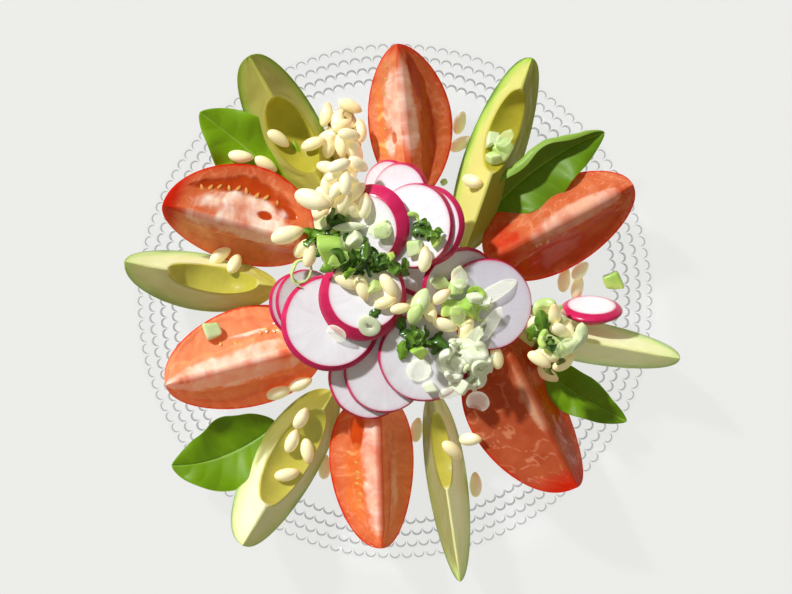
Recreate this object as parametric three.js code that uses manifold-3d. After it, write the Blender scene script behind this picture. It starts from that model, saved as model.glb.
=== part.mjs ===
// Plate of tomato and avocado salad: a clear glass plate with six tomato wedges and six avocado
// wedges laid like the hours of a clock, basil leaves between them, radish slices piled over the
// middle, and pine nuts, spring onion and shredded basil scattered on top.
// Millimetres, +Z up. The origin is the centre of the plate's foot, where it stands on the table.
// +X points to the right of the laid table and +Y away from the eater.

import * as THREE from 'three';
import { ParametricGeometry } from 'three/addons/geometries/ParametricGeometry.js';
import { mergeVertices } from 'three/addons/utils/BufferGeometryUtils.js';
import Module from 'manifold-3d';

const wasm = await Module();
wasm.setup();

// ---------------------------------------------------------------- driving dimensions

const GAP = 0.35;                 // clearance kept between pieces that touch
const DEGREE = Math.PI / 180;

const PLATE_RADIUS = 123;         // a 246 mm plate
const PLATE_FOOT_RADIUS = 92;     // the flat that stands on the table
const PLATE_THICKNESS = 3.2;
const PLATE_RIM_RISE = 7;         // how far the outer edge stands above the foot
const PLATE_SIDES = 64;

const TOMATO_RIDGE = 1.2;         // rounding of the cut ridge
const TOMATO_POCKET_DEPTH = 2.2;  // seed pockets sink this far below the cut faces
const POCKET_ALONG = { middle: 0.5, half: 0.4 };    // where they lie, as shares of the length
const POCKET_ACROSS = { middle: 0.6, half: 0.34 };  // and of the way from the ridge to the skin
const AVOCADO_RIDGE = 1.0;

const LEAF_THICKNESS = 0.8;
const LEAF_FOLD = 14;             // degrees that each half rises from the midrib
const LEAF_WAVE = 12;             // degrees that the edge swings up and down
const LEAF_WAVES = 15;            // how fast it swings, in radians from base to tip
const LEAF_TAPER = { widest: 0.8, blunt: 0.7 };

const SLICE_THICKNESS = 2.6;      // a usual radish slice
const SLICE_SIDES = 22;
const THICK_SLICE = 4;            // above this the skin side bulges
const SLICE_STEEPEST = 0.5;       // slope at which a dropped slice starts to slide

const NUT_LENGTH = 12.5;
const NUT_RADIUS = 3.1;
const NUT_SINK = 0.9;             // how far a nut is pressed into what carries it

const ONION_WALL = 1.5;           // wall of a spring onion tube
const ONION_RADIUS = 3;           // a short piece of its stem
const ONION_LENGTH = 5;
const RING_RADIUS = 5;
const RING_HEIGHT = 2.6;
const SHRED_LENGTH = 15;          // shredded basil
const SHRED_WIDTH = 4;
const SHRED_THICKNESS = 0.9;
const SHRED_ARCH = 0.11;          // rise in the middle, as a share of the length

// ---------------------------------------------------------------- solids from three.js geometry

// A closed three.js geometry as a solid: shared vertices merged, collapsed faces at poles dropped,
// and the faces turned outward.
function solidOf(geometry) {
  const bare = geometry.clone();
  bare.deleteAttribute('normal');
  bare.deleteAttribute('uv');
  const merged = mergeVertices(bare, 1e-4);
  const index = merged.index.array;
  const faces = [];
  for (let i = 0; i < index.length; i += 3) {
    const [a, b, c] = [index[i], index[i + 1], index[i + 2]];
    if (a !== b && b !== c && c !== a) faces.push(a, b, c);
  }
  const solid = manifoldOf(merged.attributes.position.array, faces);
  if (solid.volume() > 0) return solid;
  for (let i = 0; i < faces.length; i += 3) {
    [faces[i], faces[i + 1]] = [faces[i + 1], faces[i]];
  }
  return manifoldOf(merged.attributes.position.array, faces);
}

function manifoldOf(positions, faces) {
  return new wasm.Manifold(new wasm.Mesh({
    numProp: 3,
    vertProperties: new Float32Array(positions),
    triVerts: new Uint32Array(faces),
  }));
}

// A closed surface given as a function of two parameters.
function surface(point, slices, stacks) {
  return solidOf(new ParametricGeometry(point, slices, stacks));
}

function placed(solid, matrix) {
  return solid.transform(matrix.elements);
}

const joined = (solids) => wasm.Manifold.union(solids);

// The biggest connected body, without the loose scraps that a cut may leave.
function biggest(solid) {
  const bodies = solid.decompose();
  const bigger = (best, body) => (body.volume() > best.volume() ? body : best);
  return bodies.length ? bodies.reduce(bigger) : solid;
}

// ---------------------------------------------------------------- the ground that pieces land on

// A height map of everything laid so far, sampled every millimetre, for pieces that rest on others.
const GROUND_HALF = 140;
const GROUND_SIDE = 2 * GROUND_HALF + 1;

const ground = {
  heights: new Float32Array(GROUND_SIDE * GROUND_SIDE).fill(0),

  cell(x, y) {
    return (Math.round(y) + GROUND_HALF) * GROUND_SIDE + Math.round(x) + GROUND_HALF;
  },

  at(x, y) {
    return this.heights[this.cell(x, y)];
  },

  // Highest ground under a small round foot.
  under(x, y, reach) {
    let top = 0;
    for (let dx = -reach; dx <= reach; dx += 1) {
      for (let dy = -reach; dy <= reach; dy += 1) {
        if (dx * dx + dy * dy <= reach * reach) top = Math.max(top, this.at(x + dx, y + dy));
      }
    }
    return top;
  },

  // Raises the map to the upper faces of a solid.
  add(solid) {
    const mesh = solid.getMesh();
    const corner = (i) => mesh.vertProperties.subarray(mesh.numProp * mesh.triVerts[i]);
    for (let t = 0; t < mesh.triVerts.length; t += 3) {
      const [a, b, c] = [corner(t), corner(t + 1), corner(t + 2)];
      const twiceArea = (b[0] - a[0]) * (c[1] - a[1]) - (b[1] - a[1]) * (c[0] - a[0]);
      if (twiceArea < 1e-6) continue;
      const [lowX, highX] = [Math.min(a[0], b[0], c[0]), Math.max(a[0], b[0], c[0])];
      const [lowY, highY] = [Math.min(a[1], b[1], c[1]), Math.max(a[1], b[1], c[1])];
      for (let x = Math.ceil(lowX); x <= highX; x += 1) {
        for (let y = Math.ceil(lowY); y <= highY; y += 1) {
          const v = ((x - a[0]) * (c[1] - a[1]) - (y - a[1]) * (c[0] - a[0])) / twiceArea;
          const w = ((b[0] - a[0]) * (y - a[1]) - (b[1] - a[1]) * (x - a[0])) / twiceArea;
          if (v < 0 || w < 0 || v + w > 1) continue;
          const height = a[2] + v * (b[2] - a[2]) + w * (c[2] - a[2]);
          const cell = this.cell(x, y);
          this.heights[cell] = Math.max(this.heights[cell], height);
        }
      }
    }
  },
};

// ---------------------------------------------------------------- nodes and their materials

const salad = new THREE.Group();
salad.name = 'tomato_avocado_salad';

const laid = [];                  // every node so far: its name, its solid and its grown shells

function finish(colour, roughness, extra = {}) {
  return { color: colour, roughness, metalness: 0, ...extra };
}

const GLASS = finish('#e9eeec', 0.05, { transparent: true, opacity: 0.45 });
const TOMATO = finish('#c8402a', 0.35);
const AVOCADO = finish('#b5b654', 0.5);
const BASIL = finish('#2f7d18', 0.45);
const RADISH = finish('#f0e6ea', 0.4);
const RADISH_SKIN = finish('#c81f55', 0.35);
const NUTS = finish('#ead9a6', 0.5);
const GREENS = finish('#a9c74a', 0.4);

// Adds a node: its solid, placed by the anchor that its own frame starts from.
function addNode(name, piece, anchor, look) {
  const mesh = piece.solid.getMesh();
  const geometry = new THREE.BufferGeometry();
  const stride = mesh.numProp;
  const count = mesh.vertProperties.length / stride;
  const positions = new Float32Array(3 * count);
  for (let i = 0; i < count; i += 1) {
    for (let k = 0; k < 3; k += 1) positions[3 * i + k] = mesh.vertProperties[stride * i + k];
  }
  geometry.setAttribute('position', new THREE.BufferAttribute(positions, 3));
  geometry.setIndex(new THREE.BufferAttribute(new Uint32Array(mesh.triVerts), 1));
  geometry.translate(-anchor.x, -anchor.y, -anchor.z);
  geometry.computeVertexNormals();
  const node = new THREE.Mesh(geometry, new THREE.MeshStandardMaterial(look));
  node.name = name;
  node.position.copy(anchor);
  salad.add(node);
  laid.push({ name, ...piece });
  ground.add(piece.solid);
}

const overlaps = (a, b) => a.intersect(b).volume() > 1e-4;

// Cuts a piece back wherever it would cross what is already laid.
function clearOf(piece, others) {
  let { solid } = piece;
  for (const other of others) {
    for (const shell of other.shells) {
      if (overlaps(solid, shell)) solid = biggest(solid.subtract(shell));
    }
  }
  return { solid, shells: piece.shells };
}

// ---------------------------------------------------------------- the glass plate

const RIM_SLOPE = PLATE_RIM_RISE / (PLATE_RADIUS - PLATE_FOOT_RADIUS);

function plateTop(radius) {
  return PLATE_THICKNESS + Math.max(0, radius - PLATE_FOOT_RADIUS) * RIM_SLOPE;
}

function plateSolid(grow) {
  const edge = PLATE_RADIUS + grow;
  const profile = [
    new THREE.Vector2(0, -grow),
    new THREE.Vector2(PLATE_FOOT_RADIUS, -grow),
    new THREE.Vector2(edge - 1, PLATE_RIM_RISE - RIM_SLOPE - grow),
    new THREE.Vector2(edge, PLATE_RIM_RISE + PLATE_THICKNESS / 2),
    new THREE.Vector2(edge - 1, plateTop(edge - 1) + grow),
    new THREE.Vector2(PLATE_FOOT_RADIUS, PLATE_THICKNESS + grow),
    new THREE.Vector2(0, PLATE_THICKNESS + grow),
  ];
  const lathe = new THREE.LatheGeometry(profile, PLATE_SIDES);
  lathe.rotateX(Math.PI / 2);
  return solidOf(lathe);
}

const plate = { name: 'plate', solid: plateSolid(0), shells: [plateSolid(GAP)] };
laid.push(plate);
ground.add(plate.solid);

// ---------------------------------------------------------------- small toppings

const UP = new THREE.Vector3(0, 0, 1);

// A frame that lies on the ground at x, y: its X axis points along the bearing and its Z axis
// along the slope's normal, which is eased where the ground is steeper than the limit.
function frameOnGround(x, y, bearing, lift, reach = 2, steepest = 0.9) {
  const slopeX = (ground.under(x + reach, y, 1) - ground.under(x - reach, y, 1)) / (2 * reach);
  const slopeY = (ground.under(x, y + reach, 1) - ground.under(x, y - reach, 1)) / (2 * reach);
  const slope = Math.hypot(slopeX, slopeY);
  const ease = slope > steepest ? steepest / slope : 1;
  const normal = new THREE.Vector3(-slopeX * ease, -slopeY * ease, 1).normalize();
  const along = new THREE.Vector3(Math.cos(bearing * DEGREE), Math.sin(bearing * DEGREE), 0);
  along.addScaledVector(normal, -along.dot(normal)).normalize();
  const across = new THREE.Vector3().crossVectors(normal, along);
  const base = new THREE.Vector3(x, y, ground.under(x, y, 1)).addScaledVector(normal, lift);
  return new THREE.Matrix4().makeBasis(along, across, normal).setPosition(base);
}

// A pine nut: a drop turned about its length, fatter towards one end.
function nutSolid(length, radius) {
  const profile = [[-0.5, 0], [-0.26, 0.86], [0.16, 1], [0.5, 0]];
  const outline = profile.map(([along, out]) => new THREE.Vector2(out * radius, along * length));
  const lathe = new THREE.LatheGeometry(outline, 5);
  lathe.rotateZ(-Math.PI / 2);
  return solidOf(lathe);
}

// A short length of spring onion, standing or lying as the frame says; six sides.
function chunkSolid(radius, height) {
  const profile = [[0, -0.5], [1, -0.5], [1, 0.5], [0, 0.5]];
  const outline = profile.map(([out, up]) => new THREE.Vector2(out * radius, up * height));
  const lathe = new THREE.LatheGeometry(outline, 6);
  lathe.rotateX(Math.PI / 2);
  return solidOf(lathe);
}

// A ring cut from a spring onion, lying flat.
function ringSolid(radius, wall, height) {
  const inner = radius - wall;
  const profile = [[inner, -0.5], [radius, -0.5], [radius, 0.5], [inner, 0.5], [inner, -0.5]];
  const outline = profile.map(([out, up]) => new THREE.Vector2(out, up * height));
  const lathe = new THREE.LatheGeometry(outline, 9);
  lathe.rotateX(Math.PI / 2);
  return solidOf(lathe);
}

// A shred of leaf: a thin strip that arches along its length.
function shredSolid(length, width, thickness) {
  return surface((u, v, target) => {
    const corner = Math.round(4 * v) % 4;
    const side = corner === 0 || corner === 3 ? -0.5 : 0.5;
    const level = corner < 2 ? -0.5 : 0.5;
    const open = u === 0 || u === 1 ? 0 : 1;
    const arch = SHRED_ARCH * length * Math.sin(Math.PI * u);
    target.set((u - 0.5) * length, side * width * open, arch + level * thickness * open);
  }, 5, 4);
}

// One topping of each kind, as it is asked for by name, and how high its middle lies when it rests.
const TOPPINGS = {
  nut(size, grow) {
    return nutSolid(NUT_LENGTH * size + 2 * grow, NUT_RADIUS * size + grow);
  },
  chunk(size, grow) {
    return chunkSolid(ONION_RADIUS * size + grow, ONION_LENGTH * size + 2 * grow);
  },
  ring(size, grow) {
    return ringSolid(RING_RADIUS * size + grow, ONION_WALL + 2 * grow, RING_HEIGHT + 2 * grow);
  },
  shred(size, grow) {
    return shredSolid(SHRED_LENGTH * size, SHRED_WIDTH * size + grow, SHRED_THICKNESS + 2 * grow);
  },
};
const RESTING_HEIGHT = {
  nut: NUT_RADIUS,
  chunk: ONION_LENGTH / 2,
  ring: RING_HEIGHT / 2,
  shred: SHRED_THICKNESS / 2,
};
const DEEPEST_SINK = 4;
const LEAST_HOLD = 1;             // cubic millimetres shared with what carries it
const LEAST_KEPT = 0.6;           // the share of a trimmed topping that is still worth keeping

// Joins toppings to a piece. Each topping is [kind, x, y, bearing, size]: it lies on the ground
// at x, y, pressed in until it is one body with what carries it, and trimmed where it would cross
// another piece. A topping that finds no hold, or that would lose too much, is left out.
function topped(piece, toppings) {
  let { solid } = piece;
  const shells = [...piece.shells];
  if (toppings.length) ground.add(solid);
  for (const [kind, x, y, bearing, size = 1] of toppings) {
    let topping = null;
    let frame = null;
    let sink = 0;
    while (sink < DEEPEST_SINK && (!topping || topping.intersect(solid).volume() < LEAST_HOLD)) {
      sink += NUT_SINK;
      frame = frameOnGround(x, y, bearing, RESTING_HEIGHT[kind] * size - sink);
      topping = placed(TOPPINGS[kind](size, 0), frame);
    }
    const trimmed = clearOf({ solid: topping, shells: [] }, laid).solid;
    const kept = trimmed.volume() / topping.volume();
    const held = trimmed.intersect(solid).volume() >= LEAST_HOLD;
    if (kept < LEAST_KEPT || !held) continue;
    solid = solid.add(trimmed);
    shells.push(placed(TOPPINGS[kind](size, GAP), frame));
    ground.add(topping);
  }
  return { solid, shells };
}

// ---------------------------------------------------------------- wedges of tomato and avocado

// A wedge cut lengthwise from a fruit lies on its skin with its cut ridge up. In its own frame X
// runs from the heel to the tip and the fruit's axis is the X axis. At each station the section is
// a sector: an inner arc at the ridge or stone hollow, two cut faces and the arc of the skin.
const STATIONS = 11;              // along the wedge
const SECTION = { inner: 2, face: 4, skin: 6 };
const SECTION_STEPS = SECTION.inner + 2 * SECTION.face + SECTION.skin;
const FACE_STOPS = [0, 0.3, 0.6, 0.85, 1];

function skinRadius(wedge, s) {
  return wedge.radius * Math.sin(Math.PI * s ** wedge.lean) ** wedge.blunt;
}

function innerRadius(wedge, s) {
  const ridge = wedge.ridge * Math.min(1, 8 * s * (1 - s));
  if (!wedge.stone) return ridge;
  const { at, halfLength, radius } = wedge.stone;
  const across = 1 - ((s - at) * wedge.length / halfLength) ** 2;
  return Math.max(ridge, across > 0 ? radius * Math.sqrt(across) : 0);
}

// 1 in the middle of a span, falling to 0 at its ends.
const bump = (x, { middle, half }) => Math.max(0, 1 - ((x - middle) / half) ** 2);

// Depth of a tomato's seed pocket, at s along the wedge and t from the ridge to the skin.
function pocketDepth(wedge, s, t) {
  if (wedge.stone) return 0;
  return TOMATO_POCKET_DEPTH * bump(s, POCKET_ALONG) * bump(t, POCKET_ACROSS);
}

function wedgeSolid(wedge, grow) {
  const fullLength = wedge.length + 2 * grow;
  return surface((u, v, target) => {
    const s = (1 - Math.cos(Math.PI * u)) / 2;
    const outer = skinRadius(wedge, s);
    const inner = Math.min(innerRadius(wedge, s), 0.7 * outer);
    const step = Math.round(v * SECTION_STEPS) % SECTION_STEPS;
    const afterFace = SECTION.inner + SECTION.face;
    const afterSkin = afterFace + SECTION.skin;
    let angle = wedge.left;
    let radius = inner;
    let radial = 0;
    let sideways = 0;
    let dent = 0;
    if (step <= SECTION.inner) {
      const turn = step / SECTION.inner;
      angle = -wedge.right + turn * (wedge.left + wedge.right);
      radial = -1;
      sideways = Math.sign(turn - 0.5);
    } else if (step < afterFace) {
      const t = FACE_STOPS[step - SECTION.inner];
      radius = inner + t * (outer - inner);
      dent = pocketDepth(wedge, s, t);
      sideways = 1;
    } else if (step <= afterSkin) {
      const turn = (step - afterFace) / SECTION.skin;
      angle = wedge.left - turn * (wedge.left + wedge.right);
      radius = outer;
      radial = 1;
      sideways = turn === 0 ? 1 : 0;
      if (turn === 1) sideways = -1;
    } else {
      const t = FACE_STOPS[SECTION_STEPS - step];
      angle = -wedge.right;
      radius = inner + t * (outer - inner);
      dent = pocketDepth(wedge, s, t);
      sideways = -1;
    }
    const [sine, cosine] = [Math.sin(angle * DEGREE), Math.cos(angle * DEGREE)];
    const across = sideways * (grow - dent);
    const out = radius + radial * grow;
    const wide = outer > 0.01 ? 1 : 0;
    const y = wide * (out * sine + across * cosine);
    const z = wide * (-out * cosine + across * sine);
    target.set((s - 0.5) * fullLength, y, z);
  }, STATIONS, SECTION_STEPS);
}

// Where a wedge lies: turned to its bearing, its tip pitched up, and let down onto the plate.
function wedgeFrame(wedge, solid) {
  const turn = new THREE.Matrix4().makeRotationZ(wedge.bearing);
  turn.multiply(new THREE.Matrix4().makeRotationY(-wedge.pitch * DEGREE));
  turn.setPosition(wedge.middle.x, wedge.middle.y, 0);
  const mesh = placed(solid, turn).getMesh();
  let drop = -Infinity;
  for (let i = 0; i < mesh.vertProperties.length; i += mesh.numProp) {
    const [x, y, z] = mesh.vertProperties.subarray(i, i + 3);
    drop = Math.max(drop, plateTop(Math.hypot(x, y)) + GAP - z);
  }
  turn.setPosition(wedge.middle.x, wedge.middle.y, drop);
  return turn;
}

function layWedge(name, wedge, look) {
  const [tip, heel] = [new THREE.Vector2(...wedge.tip), new THREE.Vector2(...wedge.heel)];
  const run = tip.clone().sub(heel);
  wedge.length = run.length() / Math.cos(wedge.pitch * DEGREE);
  wedge.bearing = run.angle();
  wedge.middle = tip.clone().add(heel).multiplyScalar(0.5);
  const solid = wedgeSolid(wedge, 0);
  const frame = wedgeFrame(wedge, solid);
  const whole = {
    solid: placed(solid, frame),
    shells: [placed(wedgeSolid(wedge, GAP), frame)],
  };
  const cut = clearOf(whole, laid);
  const anchor = new THREE.Vector3().setFromMatrixPosition(frame);
  addNode(name, topped(cut, wedge.toppings ?? []), anchor, look);
}

// left and right are the angles that the cut faces make with straight down, seen from the heel;
// lean below 1 moves the widest station towards the heel, and blunt rounds the ends as it falls.
const tomato = (place) => ({ ridge: TOMATO_RIDGE, lean: 1, blunt: 0.55, pitch: 5, ...place });
const avocado = (place) => ({ ridge: AVOCADO_RIDGE, lean: 1, blunt: 0.5, pitch: 5, ...place });

const TOMATOES = [
  tomato({ tip: [1, 117], heel: [8, 45], radius: 28, left: 37, right: 53 }),
  tomato({
    tip: [-105.5, 43.5], heel: [-38, 25.5], radius: 30, left: 34, right: 74, lean: 0.88, blunt: 0.48,
    toppings: [['nut', -49, 30, 17, 1.3], ['nut', -42, 25.5, 60]],
  }),
  tomato({
    tip: [-104, -38], heel: [-34, -20], radius: 30, left: 43, right: 60, lean: 0.85, blunt: 0.45,
    toppings: [['chunk', -84, -14.5, 20, 1.2], ['nut', -54, -41.5, 20], ['nut', -44, -37, 30]],
  }),
  tomato({
    tip: [-6, -112.5], heel: [-8, -43.5], radius: 27, left: 36, right: 60, lean: 0.75, blunt: 0.45,
  }),
  tomato({
    tip: [82.5, -84], heel: [50, -17], radius: 33, left: 24, right: 76, lean: 0.75, blunt: 0.42,
    toppings: [['ring', 38, -46, 0, 1.2]],
  }),
  tomato({
    tip: [108, 53], heel: [42, 18.5], radius: 29, left: 45, right: 47, lean: 0.82, blunt: 0.45,
  }),
];

const AVOCADOS = [
  avocado({
    tip: [-66, 111], heel: [-30, 47], radius: 31, left: 33, right: 27, blunt: 0.36,
    stone: { at: 0.45, halfLength: 19, radius: 18 },
    toppings: [['nut', -54.5, 75, -30], ['nut', -37, 72, 15]],
  }),
  avocado({
    tip: [-122.5, 18], heel: [-54, 7], radius: 31, left: 34, right: 18, blunt: 0.42,
    stone: { at: 0.42, halfLength: 21, radius: 13.5 },
    toppings: [['nut', -81.5, 21, 40], ['nut', -74.5, 16, 70]],
  }),
  avocado({
    tip: [-69, -110.5], heel: [-28, -41.5], radius: 31, left: 24, right: 36, blunt: 0.38,
    stone: { at: 0.43, halfLength: 25, radius: 18 },
    toppings: [['nut', -50, -81, 15], ['nut', -48, -64, 70], ['nut', -40, -69.5, -80],
      ['nut', -42.5, -53, 60]],
  }),
  avocado({
    tip: [29.5, -127], heel: [17, -41.5], radius: 30, left: 21, right: 16, lean: 0.85,
    stone: { at: 0.31, halfLength: 18, radius: 12.5 },
    toppings: [['nut', 25.5, -69, -35]],
  }),
  avocado({
    tip: [129.5, -26], heel: [54, -12], radius: 28, left: 20, right: 22, lean: 0.85, blunt: 0.4,
    stone: { at: 0.24, halfLength: 14, radius: 11 },
  }),
  avocado({
    tip: [62, 110], heel: [32, 23.5], radius: 31, left: 28, right: 24, lean: 0.88, blunt: 0.42,
    stone: { at: 0.62, halfLength: 20, radius: 15.5 },
    toppings: [['nut', 37, 54.5, -20], ['chunk', 44.5, 74.5, 10], ['chunk', 50, 69, 50, 1.4],
      ['chunk', 45, 65, 30]],
  }),
];

// ---------------------------------------------------------------- basil leaves

// A leaf grows along a curved midrib from its base to its tip. Its halves fold up from the midrib
// like a shallow V, its edge is wavy, and one edge may curl over.
const LEAF_STATIONS = 10;
const LEAF_HALF_STEPS = 3;

function leafSolid(leaf, grow) {
  const points = [leaf.base, leaf.middle, leaf.tip].map((p) => new THREE.Vector3(...p));
  const midrib = new THREE.QuadraticBezierCurve3(...points);
  const half = LEAF_THICKNESS / 2 + 2 * grow;
  const columns = 4 * LEAF_HALF_STEPS;
  return surface((u, v, target) => {
    const stop = Math.round(v * columns) % columns;
    const upper = stop <= 2 * LEAF_HALF_STEPS;
    const k = upper ? stop - LEAF_HALF_STEPS : 3 * LEAF_HALF_STEPS - stop;
    const side = Math.sign(k);
    const taper = Math.sin(Math.PI * u ** LEAF_TAPER.widest) ** LEAF_TAPER.blunt;
    const step = (leaf.width / 2 + 3 * grow) * taper / LEAF_HALF_STEPS;
    const curl = side > 0 ? leaf.curlLeft : leaf.curlRight;
    const along = midrib.getTangent(u);
    const across = new THREE.Vector3().crossVectors(UP, along).normalize();
    const normal = new THREE.Vector3().crossVectors(along, across);
    target.copy(midrib.getPoint(u)).addScaledVector(along, (2 * u - 1) * 2 * grow);
    let angle = 0;
    for (let i = 1; i <= Math.abs(k); i += 1) {
      const share = i / LEAF_HALF_STEPS;
      const wave = LEAF_WAVE * share * Math.sin(LEAF_WAVES * u + 2 * side);
      angle = LEAF_FOLD + curl * share ** 3 + wave;
      target.addScaledVector(across, side * step * Math.cos(angle * DEGREE));
      target.addScaledVector(normal, step * Math.sin(angle * DEGREE));
    }
    const edge = Math.abs(k) === LEAF_HALF_STEPS || u === 0 || u === 1;
    if (!edge) target.addScaledVector(normal, upper ? half : -half);
  }, LEAF_STATIONS, columns);
}

function layLeaf(name, leaf) {
  const whole = { solid: leafSolid(leaf, 0), shells: [leafSolid(leaf, GAP)] };
  const cut = clearOf(whole, laid);
  const anchor = new THREE.Vector3(...leaf.middle);
  addNode(name, topped(cut, leaf.toppings ?? []), anchor, BASIL);
}

const leafOf = (place) => ({ curlLeft: 0, curlRight: 0, ...place });

const LEAVES = [
  leafOf({
    base: [-43, 47, 12], middle: [-66, 70, 12], tip: [-90.5, 87.5, 19], width: 37,
    toppings: [['nut', -71.5, 65.5, -10], ['nut', -61, 62.5, -20]],
  }),
  leafOf({
    base: [43, 40, 12], middle: [66, 67, 18], tip: [97, 78, 20], width: 34, curlLeft: 110,
  }),
  leafOf({ base: [68, -31, 10], middle: [84, -44.5, 12], tip: [108, -56, 14], width: 21 }),
  leafOf({ base: [-55, -57, 9], middle: [-78, -77, 12], tip: [-104, -76.5, 15], width: 35 }),
];

// ---------------------------------------------------------------- radish slices

// A slice is a thin disc whose skin side slopes, because it was cut off the middle of a round
// root: its upper face is smaller than its lower one by the bevel, and moved a little to one side.
function sliceSolid(slice, grow) {
  const rim = slice.radius + grow;
  const top = slice.radius - slice.bevel + grow;
  const half = slice.thick / 2 + grow;
  const profile = [[0, -half], [rim, -half], [top, half], [0, half]];
  if (slice.thick > THICK_SLICE) profile.splice(2, 0, [rim, -half * 0.2]);
  const outline = profile.map(([out, up]) => new THREE.Vector2(out, up));
  const lathe = new THREE.LatheGeometry(outline, SLICE_SIDES);
  lathe.rotateX(Math.PI / 2);
  const position = lathe.attributes.position;
  for (let i = 0; i < position.count; i += 1) {
    if (position.getZ(i) > half * 0.99) {
      position.setX(i, position.getX(i) + slice.shift[0]);
      position.setY(i, position.getY(i) + slice.shift[1]);
    }
  }
  return solidOf(lathe);
}

// A dropped slice comes to rest on the plane that lies above all the ground under it and lowest at
// its centre. The lowest plane is found by narrowing its slope in X and, for each, its slope in Y.
function restingPlane(slice) {
  const spots = [];
  const reach = Math.ceil(slice.radius);
  for (let dx = -reach; dx <= reach; dx += 1) {
    for (let dy = -reach; dy <= reach; dy += 1) {
      if (Math.hypot(dx, dy) > slice.radius) continue;
      spots.push([dx, dy, ground.at(slice.x + dx, slice.y + dy)]);
    }
  }
  const height = (slopeX, slopeY) => spots.reduce(
    (top, [dx, dy, z]) => Math.max(top, z - slopeX * dx - slopeY * dy), 0);
  const narrow = (cost) => {
    let [low, high] = [-SLICE_STEEPEST, SLICE_STEEPEST];
    while (high - low > 0.01) {
      const [a, b] = [low + (high - low) / 3, high - (high - low) / 3];
      if (cost(a) < cost(b)) high = b;
      else low = a;
    }
    return (low + high) / 2;
  };
  const bestY = (slopeX) => narrow((slopeY) => height(slopeX, slopeY));
  const slopeX = narrow((a) => height(a, bestY(a)));
  const slopeY = bestY(slopeX);
  return { slopeX, slopeY, height: height(slopeX, slopeY) };
}

// Turns a piece so that its own Z axis points along a normal, and moves it to a centre.
function facing(normal, centre) {
  const turn = new THREE.Quaternion().setFromUnitVectors(UP, normal);
  return new THREE.Matrix4().compose(centre, turn, new THREE.Vector3(1, 1, 1));
}

function laySlice(slice) {
  const [solid, shell] = [sliceSolid(slice, 0), sliceSolid(slice, GAP)];
  const rest = slice.lean ?? restingPlane(slice);
  const normal = new THREE.Vector3(-rest.slopeX, -rest.slopeY, 1).normalize();
  const centre = new THREE.Vector3(slice.x, slice.y, rest.height + GAP);
  centre.addScaledVector(normal, slice.thick / 2);
  let whole = null;
  let blocked = true;
  while (blocked) {
    const frame = facing(normal, centre);
    whole = { solid: placed(solid, frame), shells: [placed(shell, frame)] };
    blocked = laid.some((other) => overlaps(whole.shells[0], other.solid));
    if (blocked) centre.z += 0.1;
  }
  addNode(slice.name, topped(whole, slice.toppings ?? []), centre, slice.look ?? RADISH);
}

const sliceOf = (place) => ({ thick: SLICE_THICKNESS, bevel: 0.8, shift: [0, 0], ...place });

// From the bottom of the pile to the top.
const SLICES = [
  sliceOf({ name: 'radish_slice_01', x: -3, y: 52.5, radius: 12.5, thick: 1.8 }),
  sliceOf({ name: 'radish_slice_02', x: 2.5, y: 49.5, radius: 14 }),
  sliceOf({ name: 'radish_slice_03', x: 11.5, y: 18, radius: 17.5 }),
  sliceOf({ name: 'radish_slice_04', x: 29.5, y: 7.5, radius: 18 }),
  sliceOf({ name: 'radish_slice_05', x: -43, y: -2, radius: 15.5, thick: 1.6 }),
  sliceOf({
    name: 'radish_slice_06', x: -39, y: -1.5, radius: 16.5, thick: 1.6,
    toppings: [['ring', -44, 12.5, 0]],
  }),
  sliceOf({ name: 'radish_slice_07', x: -11.5, y: -35, radius: 19 }),
  sliceOf({ name: 'radish_slice_08', x: -4.5, y: -32, radius: 19 }),
  sliceOf({ name: 'radish_slice_09', x: 14, y: 34, radius: 18.5, bevel: 1.6 }),
  sliceOf({
    name: 'radish_slice_10', x: 8.5, y: 34, radius: 19.5,
    toppings: [['ring', 8.5, 38, 0, 0.8], ['shred', 11.5, 32.5, 60, 0.7],
      ['chunk', 9.5, 24, 10, 1.1], ['nut', 14.5, 19, 80], ['chunk', 19, 27, 30, 0.8]],
  }),
  sliceOf({
    name: 'radish_slice_11', x: 42, y: -1.5, radius: 21,
    toppings: [['chunk', 33, -3.5, 0, 1.3], ['ring', 39, -5.5, 0, 0.8], ['chunk', 36.5, 3.5, 40],
      ['chunk', 26.5, 6.5, 80, 1.2], ['chunk', 35.5, -0.5, 10, 0.8]],
  }),
  sliceOf({ name: 'radish_slice_12', x: -29, y: -9.5, radius: 22.5, bevel: 2 }),
  sliceOf({
    name: 'radish_slice_13', x: 13, y: -25.5, radius: 21, bevel: 1.4,
    toppings: [['shred', 2.5, -10.5, -40, 0.7], ['shred', 5, -16, 5, 1.4], ['shred', 3, -22, 80, 0.6],
      ['chunk', 10.5, -22, 30, 0.9], ['shred', 18, -18.5, 30], ['nut', 11.5, -7, 70, 1.3],
      ['chunk', 10, -31, 0, 1.4], ['chunk', 16, -39, 20]],
  }),
  sliceOf({
    name: 'radish_slice_14', x: -11, y: 34.5, radius: 18.5, thick: 4.5, bevel: 3,
    shift: [-1.3, -1.7], toppings: [['chunk', -5, 32, 10, 1.2]],
  }),
  sliceOf({
    name: 'radish_slice_15', x: -15, y: 2, radius: 20, thick: 4.5, bevel: 3.4,
    shift: [1.9, 1.9],
    toppings: [['ring', -11.5, -11, 0], ['nut', -14.5, 6, -70], ['nut', -2.5, 7, -60],
      ['chunk', -9.5, 6.5, 0], ['nut', -21.5, 9, -30], ['nut', -4, -0.5, 20], ['nut', 1, -3, 10, 0.8]],
  }),
];

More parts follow.
